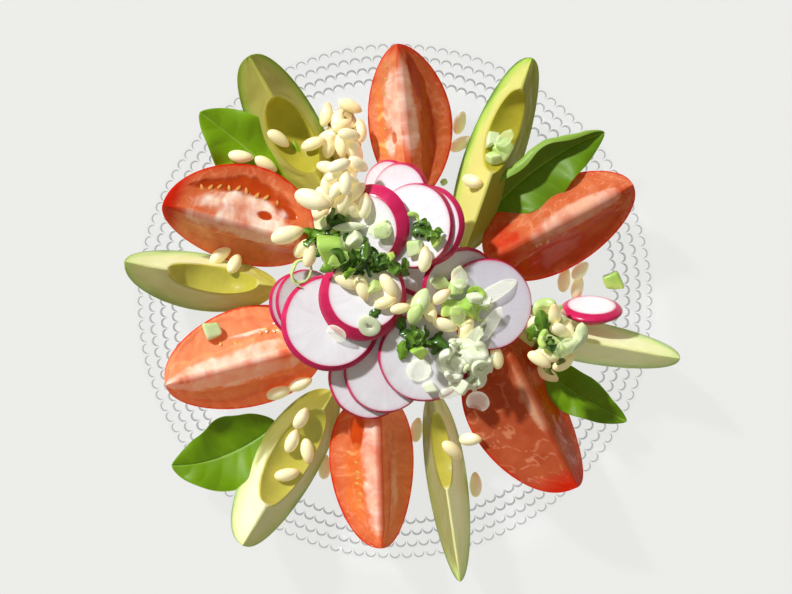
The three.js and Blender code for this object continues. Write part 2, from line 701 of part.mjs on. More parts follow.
// The slice at the right stands nearly on edge: a thick end cut, its skin towards the eater.
// It starts a little too low, and laySlice lifts it until it stands on the glass.
const END_CUT_STAND = 68 * DEGREE;
const END_CUT = sliceOf({
  name: 'radish_end_cut', x: 91, y: -5.5, radius: 14.5, thick: 8, bevel: 3.5, look: RADISH_SKIN,
});
END_CUT.lean = {
  slopeX: 0,
  slopeY: -Math.tan(END_CUT_STAND),
  height: plateTop(END_CUT.x) + END_CUT.radius * Math.sin(END_CUT_STAND) - 1,
};

// The pile that the slices in the middle lie on fills the round space between the wedges' heels:
// three stacks of slices side by side, fused where they meet.
const PILE = { stacks: 3, out: 13, radius: 15.5, height: 22 };

function radishPile(grow) {
  const stack = sliceOf({ radius: PILE.radius, thick: PILE.height });
  const stacks = [];
  for (let i = 0; i < PILE.stacks; i += 1) {
    const turn = (i / PILE.stacks) * 2 * Math.PI;
    const [x, y] = [PILE.out * Math.cos(turn), PILE.out * Math.sin(turn)];
    const centre = new THREE.Vector3(x, y, plateTop(0) + GAP + PILE.height / 2);
    stacks.push(placed(sliceSolid(stack, grow), facing(UP, centre)));
  }
  return joined(stacks);
}

// ---------------------------------------------------------------- heaps of small things

// A heap is one body: low mounds that fill the space between the pieces around them, with the nuts,
// spring onion and shreds that show pressed into the mounds and into each other. A mound is an
// ellipsoid given by its centre and its three half sizes.
function moundSolid([x, y, z, halfX, halfY, halfZ]) {
  const ball = new THREE.SphereGeometry(1, 9, 6);
  ball.scale(halfX, halfY, halfZ);
  ball.translate(x, y, z);
  return solidOf(ball);
}

function layHeap(name, heap) {
  const mounds = joined(heap.mounds.map(moundSolid));
  const full = topped(clearOf({ solid: mounds, shells: [] }, laid), heap.toppings);
  const [x, y, z] = heap.mounds[0];
  addNode(name, full, new THREE.Vector3(x, y, z), heap.look);
}

const HEAPS = {
  nut_heap: {
    look: NUTS,
    mounds: [[-24, 70, 6, 12, 24, 16], [-25, 49, 22, 11, 12, 15]],
    toppings: [['nut', -30.5, 86.5, 80], ['nut', -21.5, 89.5, -20], ['nut', -25, 79.5, 40],
      ['nut', -17.5, 78.5, 80], ['nut', -29, 72, 60], ['nut', -22, 75, 10], ['nut', -20.5, 69, -60],
      ['nut', -18, 62, -20], ['nut', -25, 59, 40], ['nut', -23.5, 53, 85], ['nut', -16.5, 49, 30],
      ['nut', -12.5, 43, 80], ['nut', -19.5, 42.5, -50], ['nut', -33.5, 41.5, 32],
      ['nut', -35, 47, -5, 1.5], ['nut', -24.5, 45.5, 80, 1.2]],
  },
  herb_heap: {
    look: GREENS,
    mounds: [[-24, 24, 30, 14, 13, 12]],
    toppings: [['chunk', -32, 34, 20, 1.1], ['chunk', -28, 23.5, 0, 1.8], ['nut', -20.5, 33, 5],
      ['chunk', -18.5, 27, 30, 1.5], ['nut', -37, 21, 60], ['shred', -21, 18, 15, 1.2],
      ['shred', -12, 17.5, -20, 1.2], ['shred', -4, 15.5, -35]],
  },
  onion_heap: {
    look: GREENS,
    mounds: [[33, -27, 30, 12, 13, 13]],
    toppings: [['chunk', 30, -21.5, 0, 1.5], ['chunk', 22.5, -27, 30, 1.7], ['chunk', 35, -27.5, 10, 1.3],
      ['ring', 38, -29.5, 0], ['nut', 44, -26, 85], ['chunk', 36.5, -36, 0, 1.3],
      ['chunk', 30.5, -38.5, 40, 0.9], ['nut', 23, -10.5, -25], ['nut', 30.5, -12, 50],
      ['shred', 38, -16, 65, 1.4]],
  },
  side_heap: {
    look: GREENS,
    mounds: [[71, -16, 16, 10, 16, 22]],
    toppings: [['nut', 72.5, -4, 80], ['nut', 73.5, -13, 60], ['nut', 65.5, -25.5, -30],
      ['nut', 76, -27.5, 10], ['nut', 72, -32, -20], ['chunk', 67, -4, 20], ['shred', 70, -19.5, 30],
      ['ring', 80, -17, 0], ['chunk', 64.5, -17, 10, 1.2], ['chunk', 76, -22, 60]],
  },
};

// ---------------------------------------------------------------- small things on the bare glass

const ON_THE_PLATE = [
  ['nut', 29, 84, 60], ['nut', 31, 74, 30], ['nut', 79.5, 10, 80], ['nut', 84.5, 6.5, 70],
  ['nut', 87, 13, 60], ['nut', -31.5, -78, 80], ['nut', 36.5, -86.5, 85], ['nut', 35.5, -62, 20],
  ['nut', 11.5, -60.5, 75], ['chunk', 102.5, 9.5, 10, 1.3],
];

// Lies flat on the glass, and is left out where a wedge or leaf leaves no room for it.
function toppedPlate() {
  let { solid } = plate;
  for (const [kind, x, y, bearing, size = 1] of ON_THE_PLATE) {
    const height = plateTop(Math.hypot(x, y)) + RESTING_HEIGHT[kind] * size - NUT_SINK;
    const frame = new THREE.Matrix4().makeRotationZ(bearing * DEGREE).setPosition(x, y, height);
    const topping = placed(TOPPINGS[kind](size, 0), frame);
    const shell = placed(TOPPINGS[kind](size, GAP), frame);
    const blocked = laid.some((other) => other !== plate && overlaps(shell, other.solid));
    if (!blocked) solid = solid.add(topping);
  }
  return { solid, shells: [] };
}

// ---------------------------------------------------------------- the laid salad

TOMATOES.forEach((wedge, i) => layWedge(`tomato_wedge_${i + 1}`, wedge, TOMATO));
AVOCADOS.forEach((wedge, i) => layWedge(`avocado_wedge_${i + 1}`, wedge, AVOCADO));
LEAVES.forEach((leaf, i) => layLeaf(`basil_leaf_${i + 1}`, leaf));
const pile = clearOf({ solid: radishPile(0), shells: [radishPile(GAP)] }, laid);
addNode('radish_pile', pile, new THREE.Vector3(0, 0, plateTop(0)), RADISH);
SLICES.forEach(laySlice);
laySlice(END_CUT);
Object.entries(HEAPS).forEach(([name, heap]) => layHeap(name, heap));
addNode('plate', toppedPlate(), new THREE.Vector3(0, 0, 0), GLASS);

export default salad;
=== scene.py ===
import bmesh
import bpy
import numpy as np
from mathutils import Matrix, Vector
from mathutils.bvhtree import BVHTree


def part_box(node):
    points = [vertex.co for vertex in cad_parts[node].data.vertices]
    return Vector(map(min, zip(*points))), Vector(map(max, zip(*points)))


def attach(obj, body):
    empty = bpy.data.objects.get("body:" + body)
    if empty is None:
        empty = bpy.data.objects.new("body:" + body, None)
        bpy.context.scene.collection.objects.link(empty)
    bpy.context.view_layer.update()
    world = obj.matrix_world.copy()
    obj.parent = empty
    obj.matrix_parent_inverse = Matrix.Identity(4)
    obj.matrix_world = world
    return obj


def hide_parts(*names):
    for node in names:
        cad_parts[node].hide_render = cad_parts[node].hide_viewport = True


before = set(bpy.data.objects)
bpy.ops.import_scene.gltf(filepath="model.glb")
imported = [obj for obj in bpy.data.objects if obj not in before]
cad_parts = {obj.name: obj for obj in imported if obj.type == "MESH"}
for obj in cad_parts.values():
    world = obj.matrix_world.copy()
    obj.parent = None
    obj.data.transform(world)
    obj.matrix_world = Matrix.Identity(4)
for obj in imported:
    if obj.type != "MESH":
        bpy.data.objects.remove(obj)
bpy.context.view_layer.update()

# %% [markdown]
# # A plate of tomato and avocado salad
# The real thing is a clear pressed glass plate. Tomato and avocado wedges lie on it like the hours
# of a clock, basil leaves are tucked between them, radish slices are piled over the middle, and
# pine nuts, spring onion and shredded basil are scattered on top. Each piece below is a surface
# worked out from a formula, at the place where the frame holds its plain solid. All lengths are in
# millimetres until a mesh is made.

# %% Units and small helpers
MM = 0.001
rng = np.random.default_rng(7)


def ramp(x, low, high):
    """0 below low, 1 above high, and a smooth step between them."""
    t = np.clip((x - low) / (high - low), 0, 1)
    return t * t * (3 - 2 * t)


def bump(x, middle, half):
    """1 in the middle of a span, falling like a parabola to 0 at its ends."""
    return np.maximum(0, 1 - ((x - middle) / half) ** 2)


def circle(count):
    """Angles spread evenly round a circle, as a row."""
    return np.linspace(0, 2 * np.pi, count, endpoint=False)[None, :]


def eased(count):
    """Shares from 0 to 1 that crowd towards both ends, as a column."""
    return (1 - np.cos(np.pi * np.linspace(0, 1, count)[:, None])) / 2


def noise(x, y, seed=0.0):
    """Smooth uneven field from -1 to 1: random numbers at whole places, blended in between."""
    column, row = np.floor(x), np.floor(y)
    a, b = ramp(x - column, 0, 1), ramp(y - row, 0, 1)

    def corner(i, j):
        mixed = np.sin((column + i) * 127.1 + (row + j) * 311.7 + seed * 74.7) * 43758.5453
        return 2 * (mixed - np.floor(mixed)) - 1

    low = corner(0, 0) * (1 - a) + corner(1, 0) * a
    high = corner(0, 1) * (1 - a) + corner(1, 1) * a
    return low * (1 - b) + high * b


# %% [markdown]
# ## From a grid of points to a mesh
# Nearly every piece is a grid: one parameter runs along it and the other goes round it. Where the
# ends of the grid shrink to a point, as on a nut, all the points of that row become one vertex, so
# that the mesh is closed. A ring joins its last row to its first instead.

# %% Grids and parts
def grid_faces(rows, columns, ends="pole"):
    """Quads between neighbours of a grid that closes round its columns; each end row is a point,
    or the last row is joined to the first."""
    index = np.arange(rows * columns).reshape(rows, columns)
    if ends == "pole":
        index[0] = index[0, 0]
        index[-1] = index[-1, 0]
    else:
        index = np.vstack([index, index[:1]])
    index = np.hstack([index, index[:, :1]])
    quads = [index[:-1, :-1], index[1:, :-1], index[1:, 1:], index[:-1, 1:]]
    return np.stack(quads, -1).reshape(-1, 4)


def volume(points, faces):
    """Volume inside a closed mesh, from the tetrahedra between its faces and the origin."""
    a, b, c, d = (points[faces[:, i]] for i in range(4))
    return (np.cross(a, b) * c).sum() / 6 + (np.cross(a, c) * d).sum() / 6


def part(points, ends="pole", **masks):
    """A closed surface as points, faces that look outward, and one number a point for each mask."""
    rows, columns = points.shape[:2]
    flat = points.reshape(-1, 3)
    faces = grid_faces(rows, columns, ends)
    if volume(flat - flat.mean(0), faces) < 0:
        faces = faces[:, ::-1]
    spread = {name: np.broadcast_to(m, (rows, columns)).ravel() for name, m in masks.items()}
    return {"points": flat, "faces": faces, "masks": spread}


def joined(parts):
    """Several parts as one; a mask that a part lacks is 0 there."""
    names = sorted({name for p in parts for name in p["masks"]})
    starts = np.cumsum([0] + [len(p["points"]) for p in parts[:-1]])
    return {
        "points": np.vstack([p["points"] for p in parts]),
        "faces": np.vstack([p["faces"] + start for p, start in zip(parts, starts)]),
        "masks": {
            n: np.concatenate([p["masks"].get(n, np.zeros(len(p["points"]))) for p in parts])
            for n in names
        },
    }


# %% From parts to an object
SHARP = np.radians(38)


def show(name, parts, finish, stands_for=()):
    """Makes one object of the parts, in metres, with its masks as attributes, riding on the plate.
    A quad that has two corners in one point, at a pole, becomes a triangle."""
    whole = joined(parts)
    used, faces = np.unique(whole["faces"], return_inverse=True)
    faces = faces.reshape(-1, 4)
    a, b, c, d = faces.T
    whole_quads = (a != b) & (b != c) & (c != d) & (d != a)
    triangles = [faces[a == b][:, 1:], faces[(c == d) | (b == c)][:, [0, 1, 3]], faces[d == a][:, :3]]
    polygons = faces[whole_quads].tolist() + np.vstack(triangles).tolist()
    mesh = bpy.data.meshes.new(name)
    mesh.from_pydata((whole["points"][used] * MM).tolist(), [], polygons)
    for mask, values in whole["masks"].items():
        attribute = mesh.attributes.new(mask, "FLOAT", "POINT")
        attribute.data.foreach_set("value", values[used].astype(np.float32))
    mesh.shade_smooth()
    mesh.set_sharp_from_angle(angle=SHARP)
    mesh.materials.append(finish.material)
    piece = bpy.data.objects.new(name, mesh)
    bpy.context.scene.collection.objects.link(piece)
    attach(piece, "root")
    if stands_for:
        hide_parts(*stands_for)
    print(f"{name}: {len(polygons)} faces")
    return piece


# %% [markdown]
# ## What lies on what
# Small things are laid where a hand would drop them. Everything that is laid is remembered as a
# search tree, a ray dropped from above finds the top of it, and the heights around a spot say how
# the piece tips. This is the same rule that places the plain solids.

# %% The ground that toppings land on
laid = []
DROP_FROM = 200.0
DOWN = Vector((0, 0, -1))


def lay(piece):
    """Remembers a part as ground for what is laid later."""
    points = piece["points"]
    tree = BVHTree.FromPolygons(points.tolist(), piece["faces"].tolist())
    laid.append((points[:, :2].min(0), points[:, :2].max(0), tree))


def top_at(x, y):
    """Height of the highest thing laid so far at a place."""
    top = 0.0
    for low, high, tree in laid:
        if low[0] <= x <= high[0] and low[1] <= y <= high[1]:
            hit = tree.ray_cast(Vector((x, y, DROP_FROM)), DOWN)[0]
            if hit is not None:
                top = max(top, hit.z)
    return top


def foot_at(x, y, reach=1.0):
    """Height under a small round foot: the highest of its middle and four points round it."""
    ring = [(0, 0), (reach, 0), (-reach, 0), (0, reach), (0, -reach)]
    return max(top_at(x + dx, y + dy) for dx, dy in ring)


# %% How a piece comes to rest
def resting_frame(x, y, bearing, lift, steepest=0.9, reach=2.0, roll=0.0):
    """Origin and axes of a piece that lies at x, y: X along its bearing and Z along the slope's
    normal, eased where the ground is steeper than the limit, then rolled about its X axis."""
    slope = np.array([
        foot_at(x + reach, y) - foot_at(x - reach, y),
        foot_at(x, y + reach) - foot_at(x, y - reach),
    ]) / (2 * reach)
    size = np.hypot(*slope)
    slope *= min(1, steepest / max(size, 1e-6))
    normal = np.array([-slope[0], -slope[1], 1.0])
    normal /= np.linalg.norm(normal)
    along = np.array([np.cos(np.radians(bearing)), np.sin(np.radians(bearing)), 0])
    along -= along.dot(normal) * normal
    along /= np.linalg.norm(along)
    across = np.cross(normal, along)
    turn = np.radians(roll)
    rolled = np.cos(turn) * across + np.sin(turn) * normal
    upward = np.cross(along, rolled)
    origin = np.array([x, y, foot_at(x, y)]) + normal * lift
    return origin, np.array([along, rolled, upward])


def placed(piece, origin, axes):
    """A part moved from its own axes to a place."""
    return {**piece, "points": piece["points"] @ axes + origin}


def toned(piece, **masks):
    """A part with further masks that are the same all over it."""
    count = len(piece["points"])
    more = {name: np.full(count, float(value)) for name, value in masks.items()}
    return {**piece, "masks": {**piece["masks"], **more}}


# %% [markdown]
# ## Camera
# The picture looks straight down from about 0.9 m, so the camera does too, with the lens that
# makes the table 375 mm wide in the picture.

# %% Camera
CAMERA_HEIGHT = 885
SENSOR = 36
PIXEL = 0.473                     # of the picture, at the table
PICTURE_WIDTH = 792
PICTURE_MIDDLE = (0.473, 1.892)   # what the camera looks at, from the plate's centre

camera_data = bpy.data.cameras.new("camera")
camera_data.sensor_width = SENSOR
camera_data.lens = SENSOR * CAMERA_HEIGHT / (PIXEL * PICTURE_WIDTH)
camera = bpy.data.objects.new("camera", camera_data)
camera.location = Vector((*PICTURE_MIDDLE, CAMERA_HEIGHT)) * MM
bpy.context.scene.collection.objects.link(camera)
bpy.context.scene.camera = camera
print(f"lens {camera_data.lens:.1f} mm")

# %% [markdown]
# ## How a finish is written
# Cut food is never one flat colour: it is mottled at the size of its cells, and it is wet in
# patches. Both effects are node groups, so each finish uses them with its own sizes. Over them a
# finish is a stack of colours, each laid on the last by a mask that the mesh carries.

# %% Node helpers


def colour(code):
    """Linear colour of a hexadecimal screen colour such as d4573a."""
    screen = np.array([int(code[i : i + 2], 16) for i in (0, 2, 4)]) / 255
    linear = np.where(screen <= 0.04045, screen / 12.92, ((screen + 0.055) / 1.055) ** 2.4)
    return (*linear.tolist(), 1.0)


def add(tree, kind, sockets=None, **settings):
    """Adds a node. A socket that is given another node's output is linked, else it is set."""
    node = tree.nodes.new(kind)
    for name, value in settings.items():
        setattr(node, name, value)
    for name, value in (sockets or {}).items():
        if isinstance(value, bpy.types.NodeSocket):
            tree.links.new(value, node.inputs[name])
        else:
            node.inputs[name].default_value = colour(value) if isinstance(value, str) else value
    return node


def mix(tree, share, under, over):
    """Over laid on under by a share. Colours are sockets or screen codes."""
    return add(tree, "ShaderNodeMix", {0: share, 6: under, 7: over}, data_type="RGBA").outputs[2]


def calculate(tree, operation, a, b=0.0, c=0.0, clamp=False):
    """One sum of two or three numbers or sockets."""
    node = add(tree, "ShaderNodeMath", {0: a, 1: b, 2: c}, operation=operation, use_clamp=clamp)
    return node.outputs[0]


# %% Node groups


def new_group(name, inputs, outputs):
    """An empty shader group with number inputs and outputs, and its two end nodes."""
    group = bpy.data.node_groups.new(name, "ShaderNodeTree")
    for socket, value in inputs.items():
        item = group.interface.new_socket(socket, in_out="INPUT", socket_type="NodeSocketFloat")
        item.default_value = value
    for socket in outputs:
        group.interface.new_socket(socket, in_out="OUTPUT", socket_type="NodeSocketFloat")
    return group, group.nodes.new("NodeGroupInput"), group.nodes.new("NodeGroupOutput")


def patchiness(group, scale, detail):
    """Noise on Object coordinates inside a group."""
    place = add(group, "ShaderNodeTexCoord").outputs["Object"]
    sockets = {"Vector": place, "Scale": scale, "Detail": detail}
    return add(group, "ShaderNodeTexNoise", sockets).outputs["Fac"]


def mottle_group():
    """Soft blotches and a fine grain, as values from 0 to 1."""
    group, start, end = new_group("mottle", {"Blotches": 120, "Grain": 900}, ["Blotch", "Fine"])
    for scale, output, detail in (("Blotches", "Blotch", 3.0), ("Grain", "Fine", 2.0)):
        group.links.new(patchiness(group, start.outputs[scale], detail), end.inputs[output])
    return group


def wet_group():
    """Roughness that changes between wet and drier patches."""
    inputs = {"Patches": 160, "Wet": 0.15, "Dry": 0.45}
    group, start, end = new_group("wet_film", inputs, ["Roughness"])
    spread = add(group, "ShaderNodeMapRange", {
        "Value": patchiness(group, start.outputs["Patches"], 2.0), "From Min": 0.4, "From Max": 0.62,
        "To Min": start.outputs["Wet"], "To Max": start.outputs["Dry"]})
    group.links.new(spread.outputs["Result"], end.inputs["Roughness"])
    return group


MOTTLE = mottle_group()
WET = wet_group()
print(f"effects: {MOTTLE.name}, {WET.name}")

# %% A finish


class Finish:
    """A material with its Principled shader, whose sockets are set by name with _ for a space.
    Mottle is the scale of its blotches and its grain, wet is the scale of its wet patches and
    their roughness when wet and dry, and relief is the strength and depth of its grain."""

    def __init__(self, name, mottle=None, wet=None, relief=None, **settings):
        self.material = bpy.data.materials.new(name)
        self.material.use_nodes = True
        self.tree = self.material.node_tree
        self.shader = self.tree.nodes["Principled BSDF"]
        for socket, value in settings.items():
            value = colour(value) if isinstance(value, str) else value
            self.shader.inputs[socket.replace("_", " ")].default_value = value
        if mottle:
            self.blotch, self.fine = self.effect(MOTTLE, mottle)
        if wet:
            self.feed(Roughness=self.effect(WET, wet)[0])
        if relief:
            self.bumped(self.fine, *relief)

    def effect(self, group, values=()):
        """Places a shared effect with its own values and gives its outputs."""
        node = add(self.tree, "ShaderNodeGroup", node_tree=group)
        for socket, value in zip(node.inputs, values):
            socket.default_value = value
        return list(node.outputs)

    def feed(self, **sockets):
        """Links outputs into the shader's sockets."""
        for name, output in sockets.items():
            self.tree.links.new(output, self.shader.inputs[name.replace("_", " ")])

    def bumped(self, height, strength, distance):
        """Feeds a height into the shader's normal."""
        sockets = {"Height": height, "Strength": strength, "Distance": distance}
        self.feed(Normal=add(self.tree, "ShaderNodeBump", sockets).outputs["Normal"])

    def calculate(self, *values, **settings):
        """One sum of numbers or sockets."""
        return calculate(self.tree, *values, **settings)

    def mask(self, name, factor=1.0, plus=0.0, clamp=False):
        """A mask that the mesh carries, times a factor and plus a number."""
        socket = add(self.tree, "ShaderNodeAttribute", attribute_name=name).outputs["Fac"]
        return self.calculate("MULTIPLY_ADD", socket, factor, plus, clamp=clamp)

    def layered(self, base, *layers):
        """A colour with layers over it, from the bottom up. Each is a share and a colour, and the
        share is a socket, a mask's name, or a name with its factor and what is added."""
        for share, top in layers:
            if isinstance(share, str):
                share = self.mask(share)
            elif isinstance(share, tuple):
                share = self.mask(*share)
            base = mix(self.tree, share, base, top)
        return base

    def blotched(self, one, other):
        """Two colours in soft blotches."""
        return mix(self.tree, self.blotch, one, other)


# %% [markdown]
# ## Table and light
# The table is plain and pale; it glows a little, as a lit studio table does, so that shadows on it
# nearly vanish. What it throws back on the food is warmer and duller than what the camera sees. One
# lamp stands for the window light that comes over the far left edge, about 35 degrees high, and the
# sky gives a soft fill.

# %% Table, sky and lamp
TABLE_HALF = 1500
TABLE_BELOW = 0.2                 # clearance under the plate's foot
TABLE_GLOW = 0.88
SKY_STRENGTH = 0.26
LAMP_FROM = Vector((-0.65, 0.7, 0.66))
LAMP_STRENGTH = 3.9
LAMP_WIDTH = np.radians(4)        # seen from the plate; it softens the shadows

table_mesh = bpy.data.meshes.new("table")
corners = [(-1, -1), (1, -1), (1, 1), (-1, 1)]
table_mesh.from_pydata(
    [(x * TABLE_HALF * MM, y * TABLE_HALF * MM, -TABLE_BELOW * MM) for x, y in corners],
    [], [(0, 1, 2, 3)])
table = bpy.data.objects.new("table", table_mesh)
bpy.context.scene.collection.objects.link(table)

pale = Finish("pale_table", Roughness=0.8, Base_Color="303030", Emission_Strength=TABLE_GLOW)
rays = add(pale.tree, "ShaderNodeLightPath").outputs
seen = pale.calculate("MAXIMUM", rays["Is Camera Ray"], rays["Is Transmission Ray"])
pale.feed(Emission_Color=mix(pale.tree, seen, "bcbcb0", "f4f4f1"))
table_mesh.materials.append(pale.material)

world = bpy.data.worlds.new("sky")
bpy.context.scene.world = world
world.use_nodes = True
world.node_tree.nodes["Background"].inputs["Color"].default_value = colour("fff8ea")
world.node_tree.nodes["Background"].inputs["Strength"].default_value = SKY_STRENGTH

lamp_data = bpy.data.lights.new("window", "SUN")
lamp_data.energy = LAMP_STRENGTH
lamp_data.angle = LAMP_WIDTH
lamp_data.color = colour("fafcff")[:3]
lamp = bpy.data.objects.new("window", lamp_data)
lamp.rotation_euler = LAMP_FROM.to_track_quat("Z", "Y").to_euler()
bpy.context.scene.collection.objects.link(lamp)
bpy.context.scene.view_settings.view_transform = "Standard"
print(f"table {2 * TABLE_HALF} mm wide, lamp strength {LAMP_STRENGTH}, sky {SKY_STRENGTH}")

# %% [markdown]
# ## The glass plate
# It is pressed glass: a flat foot, a low sloping rim, and round beads under the rim in four rows,
# each row half a bead out of step with the next. The beads could be separate balls, but pressed
# glass is one piece, so they are relief in the underside of one turned surface. A mask marks each
# bead's outline with a grey line, which is painted shade for the dark edge that the bent light shows.

# %% Plate profile and beads
PLATE_RADIUS = 123
PLATE_FOOT = 92
PLATE_THICK = 3.2
RIM_RISE = 7
RIM_SLOPE = RIM_RISE / (PLATE_RADIUS - PLATE_FOOT)
BEAD_ROWS = 4
FIRST_ROW = 102.6                 # radius of the innermost row
ROW_PITCH = 5.2
BEADS_ROUND = 132
BEAD_RADIUS = 2.5
BEAD_DEPTH = 0.9
STEPS_A_BEAD = 8


def plate_top(radius):
    """Height of the plate's upper face."""
    return PLATE_THICK + np.maximum(0, radius - PLATE_FOOT) * RIM_SLOPE


# %% The plate's surface
def turned(radius, height, angle, ends="pole", **masks):
    """A closed surface about the upright axis, from radii, heights and angles round it."""
    x, y, z = np.broadcast_arrays(radius * np.cos(angle), radius * np.sin(angle), height)
    return part(np.stack([x, y, z], -1), ends, **masks)


def bead_depth(radius, angle):
    """How far the beads stand out: a bead is a dome, and every other row is half a bead on."""
    row = np.clip(np.round((radius - FIRST_ROW) / ROW_PITCH), 0, BEAD_ROWS - 1)
    middle = FIRST_ROW + row * ROW_PITCH
    pitch = 2 * np.pi / BEADS_ROUND
    aside = ((angle / pitch + 0.5 * (row % 2)) % 1 - 0.5) * pitch * middle
    away = np.hypot(aside, radius - middle) / BEAD_RADIUS
    return BEAD_DEPTH * np.sqrt(np.maximum(0, 1 - away ** 2))


def plate_part():
    """A profile turned about the upright axis, from the foot's centre, under the rim, round the
    edge and back over the top. The rim mask marks the edge."""
    angle = circle(BEADS_ROUND * STEPS_A_BEAD)
    rows = np.arange(99, PLATE_RADIUS - 1, ROW_PITCH / 10)
    edge = PLATE_RADIUS - np.array([0.1, 0.0, 0.1])
    under = np.array([0, 50, 90, PLATE_FOOT, 95, *rows, PLATE_RADIUS - 0.4])
    over = np.array([PLATE_RADIUS - 0.4, 110, 98, PLATE_FOOT, 50, 0])
    radius = np.concatenate([under, edge, over])[:, None]
    lift = np.concatenate([np.zeros(len(under)), [0.2, 0.5, 0.8], np.ones(len(over))])[:, None]
    height = plate_top(radius) - PLATE_THICK * (1 - lift)
    depth = bead_depth(radius, angle) * (lift == 0)
    return turned(radius, height - depth, angle, rim=ramp(radius, 121.5, 122.4))


def plain_plate():
    """The plate without its beads, as ground for what lies on it."""
    radius = np.array([0, 0.1, PLATE_FOOT, PLATE_RADIUS, PLATE_RADIUS, 0])[:, None]
    height = np.array([0, PLATE_THICK, PLATE_THICK, PLATE_THICK + RIM_RISE, 0, 0])[:, None]
    return turned(radius, height, circle(96))


plate_shape = plate_part()
print(f"plate: {len(plate_shape['points'])} points")

# %% [markdown]
# ### Clear glass
# Real clear glass casts almost no shadow. A path tracer can't find the light that passes through
# it, so shadow rays see a clear shader instead, and everything else sees true glass. A thin grey
# crescent on each bead's outer side is painted shade: it stands for the dark edge that the bent
# light shows on the bead's outline. It is worked out in the finish from the same rows and the same
# pitch as the relief, because lines so fine would need a much finer mesh.

# %% Bead crescents, as a node group
CRESCENT_RADIUS = 2.3
CRESCENT_WIDTH = 0.24


def crescent_group():
    """1 on the outer half of each bead's outline and 0 elsewhere. The place is turned into a
    radius and an angle; the row is the nearest whole number of row pitches, and the distance to
    the bead's centre is compared with the crescent's radius by a bell curve."""
    group, start, end = new_group("painted_bead_shade", {"Width": CRESCENT_WIDTH}, ["Crescent"])
    place = add(group, "ShaderNodeTexCoord").outputs["Object"]
    axes = add(group, "ShaderNodeSeparateXYZ", {"Vector": place}).outputs

    def sum_of(operation, a, b=0.0, c=0.0):
        return calculate(group, operation, a, b, c)

    def length(a, b):
        """Root of the sum of two squares."""
        return sum_of("SQRT", sum_of("MULTIPLY_ADD", a, a, sum_of("MULTIPLY", b, b)))

    x, y = (sum_of("DIVIDE", axes[k], MM) for k in ("X", "Y"))
    turn = sum_of("MULTIPLY", sum_of("ARCTAN2", y, x), BEADS_ROUND / (2 * np.pi))
    steps = sum_of("DIVIDE", sum_of("SUBTRACT", length(x, y), FIRST_ROW), ROW_PITCH)
    row = sum_of("ROUND", steps)
    outward = sum_of("MULTIPLY", sum_of("SUBTRACT", steps, row), ROW_PITCH)
    odd = sum_of("MULTIPLY", sum_of("FLOORED_MODULO", row, 2.0), 0.5)
    middle = sum_of("MULTIPLY_ADD", row, ROW_PITCH, FIRST_ROW)
    aside = sum_of("SUBTRACT", sum_of("FRACT", sum_of("ADD", turn, odd)), 0.5)
    aside = sum_of("MULTIPLY", sum_of("MULTIPLY", aside, middle), 2 * np.pi / BEADS_ROUND)
    off = sum_of("SUBTRACT", length(aside, outward), CRESCENT_RADIUS)
    off = sum_of("DIVIDE", off, start.outputs["Width"])
    bell = sum_of("POWER", np.e, sum_of("MULTIPLY", sum_of("MULTIPLY", off, off), -1.0))
    half = add(group, "ShaderNodeMapRange", {"Value": outward, "From Min": -0.3, "From Max": 1.4})
    in_rows = sum_of("COMPARE", row, (BEAD_ROWS - 1) / 2, BEAD_ROWS / 2)
    crescent = sum_of("MULTIPLY", sum_of("MULTIPLY", bell, half.outputs["Result"]), in_rows)
    group.links.new(crescent, end.inputs["Crescent"])
    return group


# %% Glass finish
glass = Finish("clear_glass", Metallic=0.0, Roughness=0.02, IOR=1.3, Transmission_Weight=1.0)
crescent = glass.effect(crescent_group())[0]
# Painted shade: the grey crescents on the beads' outlines.
glass.feed(Base_Color=mix(glass.tree, crescent, "fdfefe", "6a6e6e"))
shadow_ray = add(glass.tree, "ShaderNodeLightPath").outputs["Is Shadow Ray"]
clear = add(glass.tree, "ShaderNodeBsdfTransparent").outputs[0]
unseen = glass.calculate("MAXIMUM", shadow_ray, glass.mask("rim"))
blend = add(glass.tree, "ShaderNodeMixShader", {0: unseen, 1: glass.shader.outputs[0], 2: clear})
surface = glass.tree.nodes["Material Output"].inputs["Surface"]
glass.tree.links.new(blend.outputs[0], surface)

show("glass_plate", [plate_shape], glass, ["plate"])
lay(plain_plate())

# %% [markdown]
# ## Wedges of tomato and avocado
# A wedge is cut lengthwise from a fruit and lies on its skin with the cut ridge up. Across it the
# section is a sector: a small inner arc, two flat cut faces and the arc of the skin. Along it the
# sector's radius follows the fruit's outline. The avocado's inner arc widens to the hollow where
# the stone sat. Modelling each by hand would work too, but twelve wedges with one formula keep the
# same cut, and every point knows where it is on its face, which is what the finish needs.

# %% The wedge formula
GAP = 0.35
WEDGE_ROWS = 150
FACE_STEPS = 58
SKIN_STEPS = 34
INNER_STEPS = 12
POCKET_DEPTH = 2.2


def fruit_radius(wedge, s):
    """Outline of the fruit: a sine from end to end, leaned towards the heel and blunted."""
    return wedge["radius"] * np.sin(np.pi * s ** wedge["lean"]) ** wedge["blunt"]


def ridge_radius(wedge, s):
    """Radius of the inner arc: the ridge's rounding, or the hollow that the stone left."""
    ridge = wedge["ridge"] * np.minimum(1, 8 * s * (1 - s))
    if "stone" not in wedge:
        return ridge
    at, half, radius = wedge["stone"]
    across = 1 - ((s - at) * wedge["length"] / half) ** 2
    return np.maximum(ridge, radius * np.sqrt(np.maximum(0, across)))


# %% The section of a wedge
def radii(wedge, s):
    """Inner and outer radius of the section at s."""
    outer = fruit_radius(wedge, s)
    return np.minimum(ridge_radius(wedge, s), 0.7 * outer), outer


INNER, LEFT, SKIN, RIGHT = range(4)


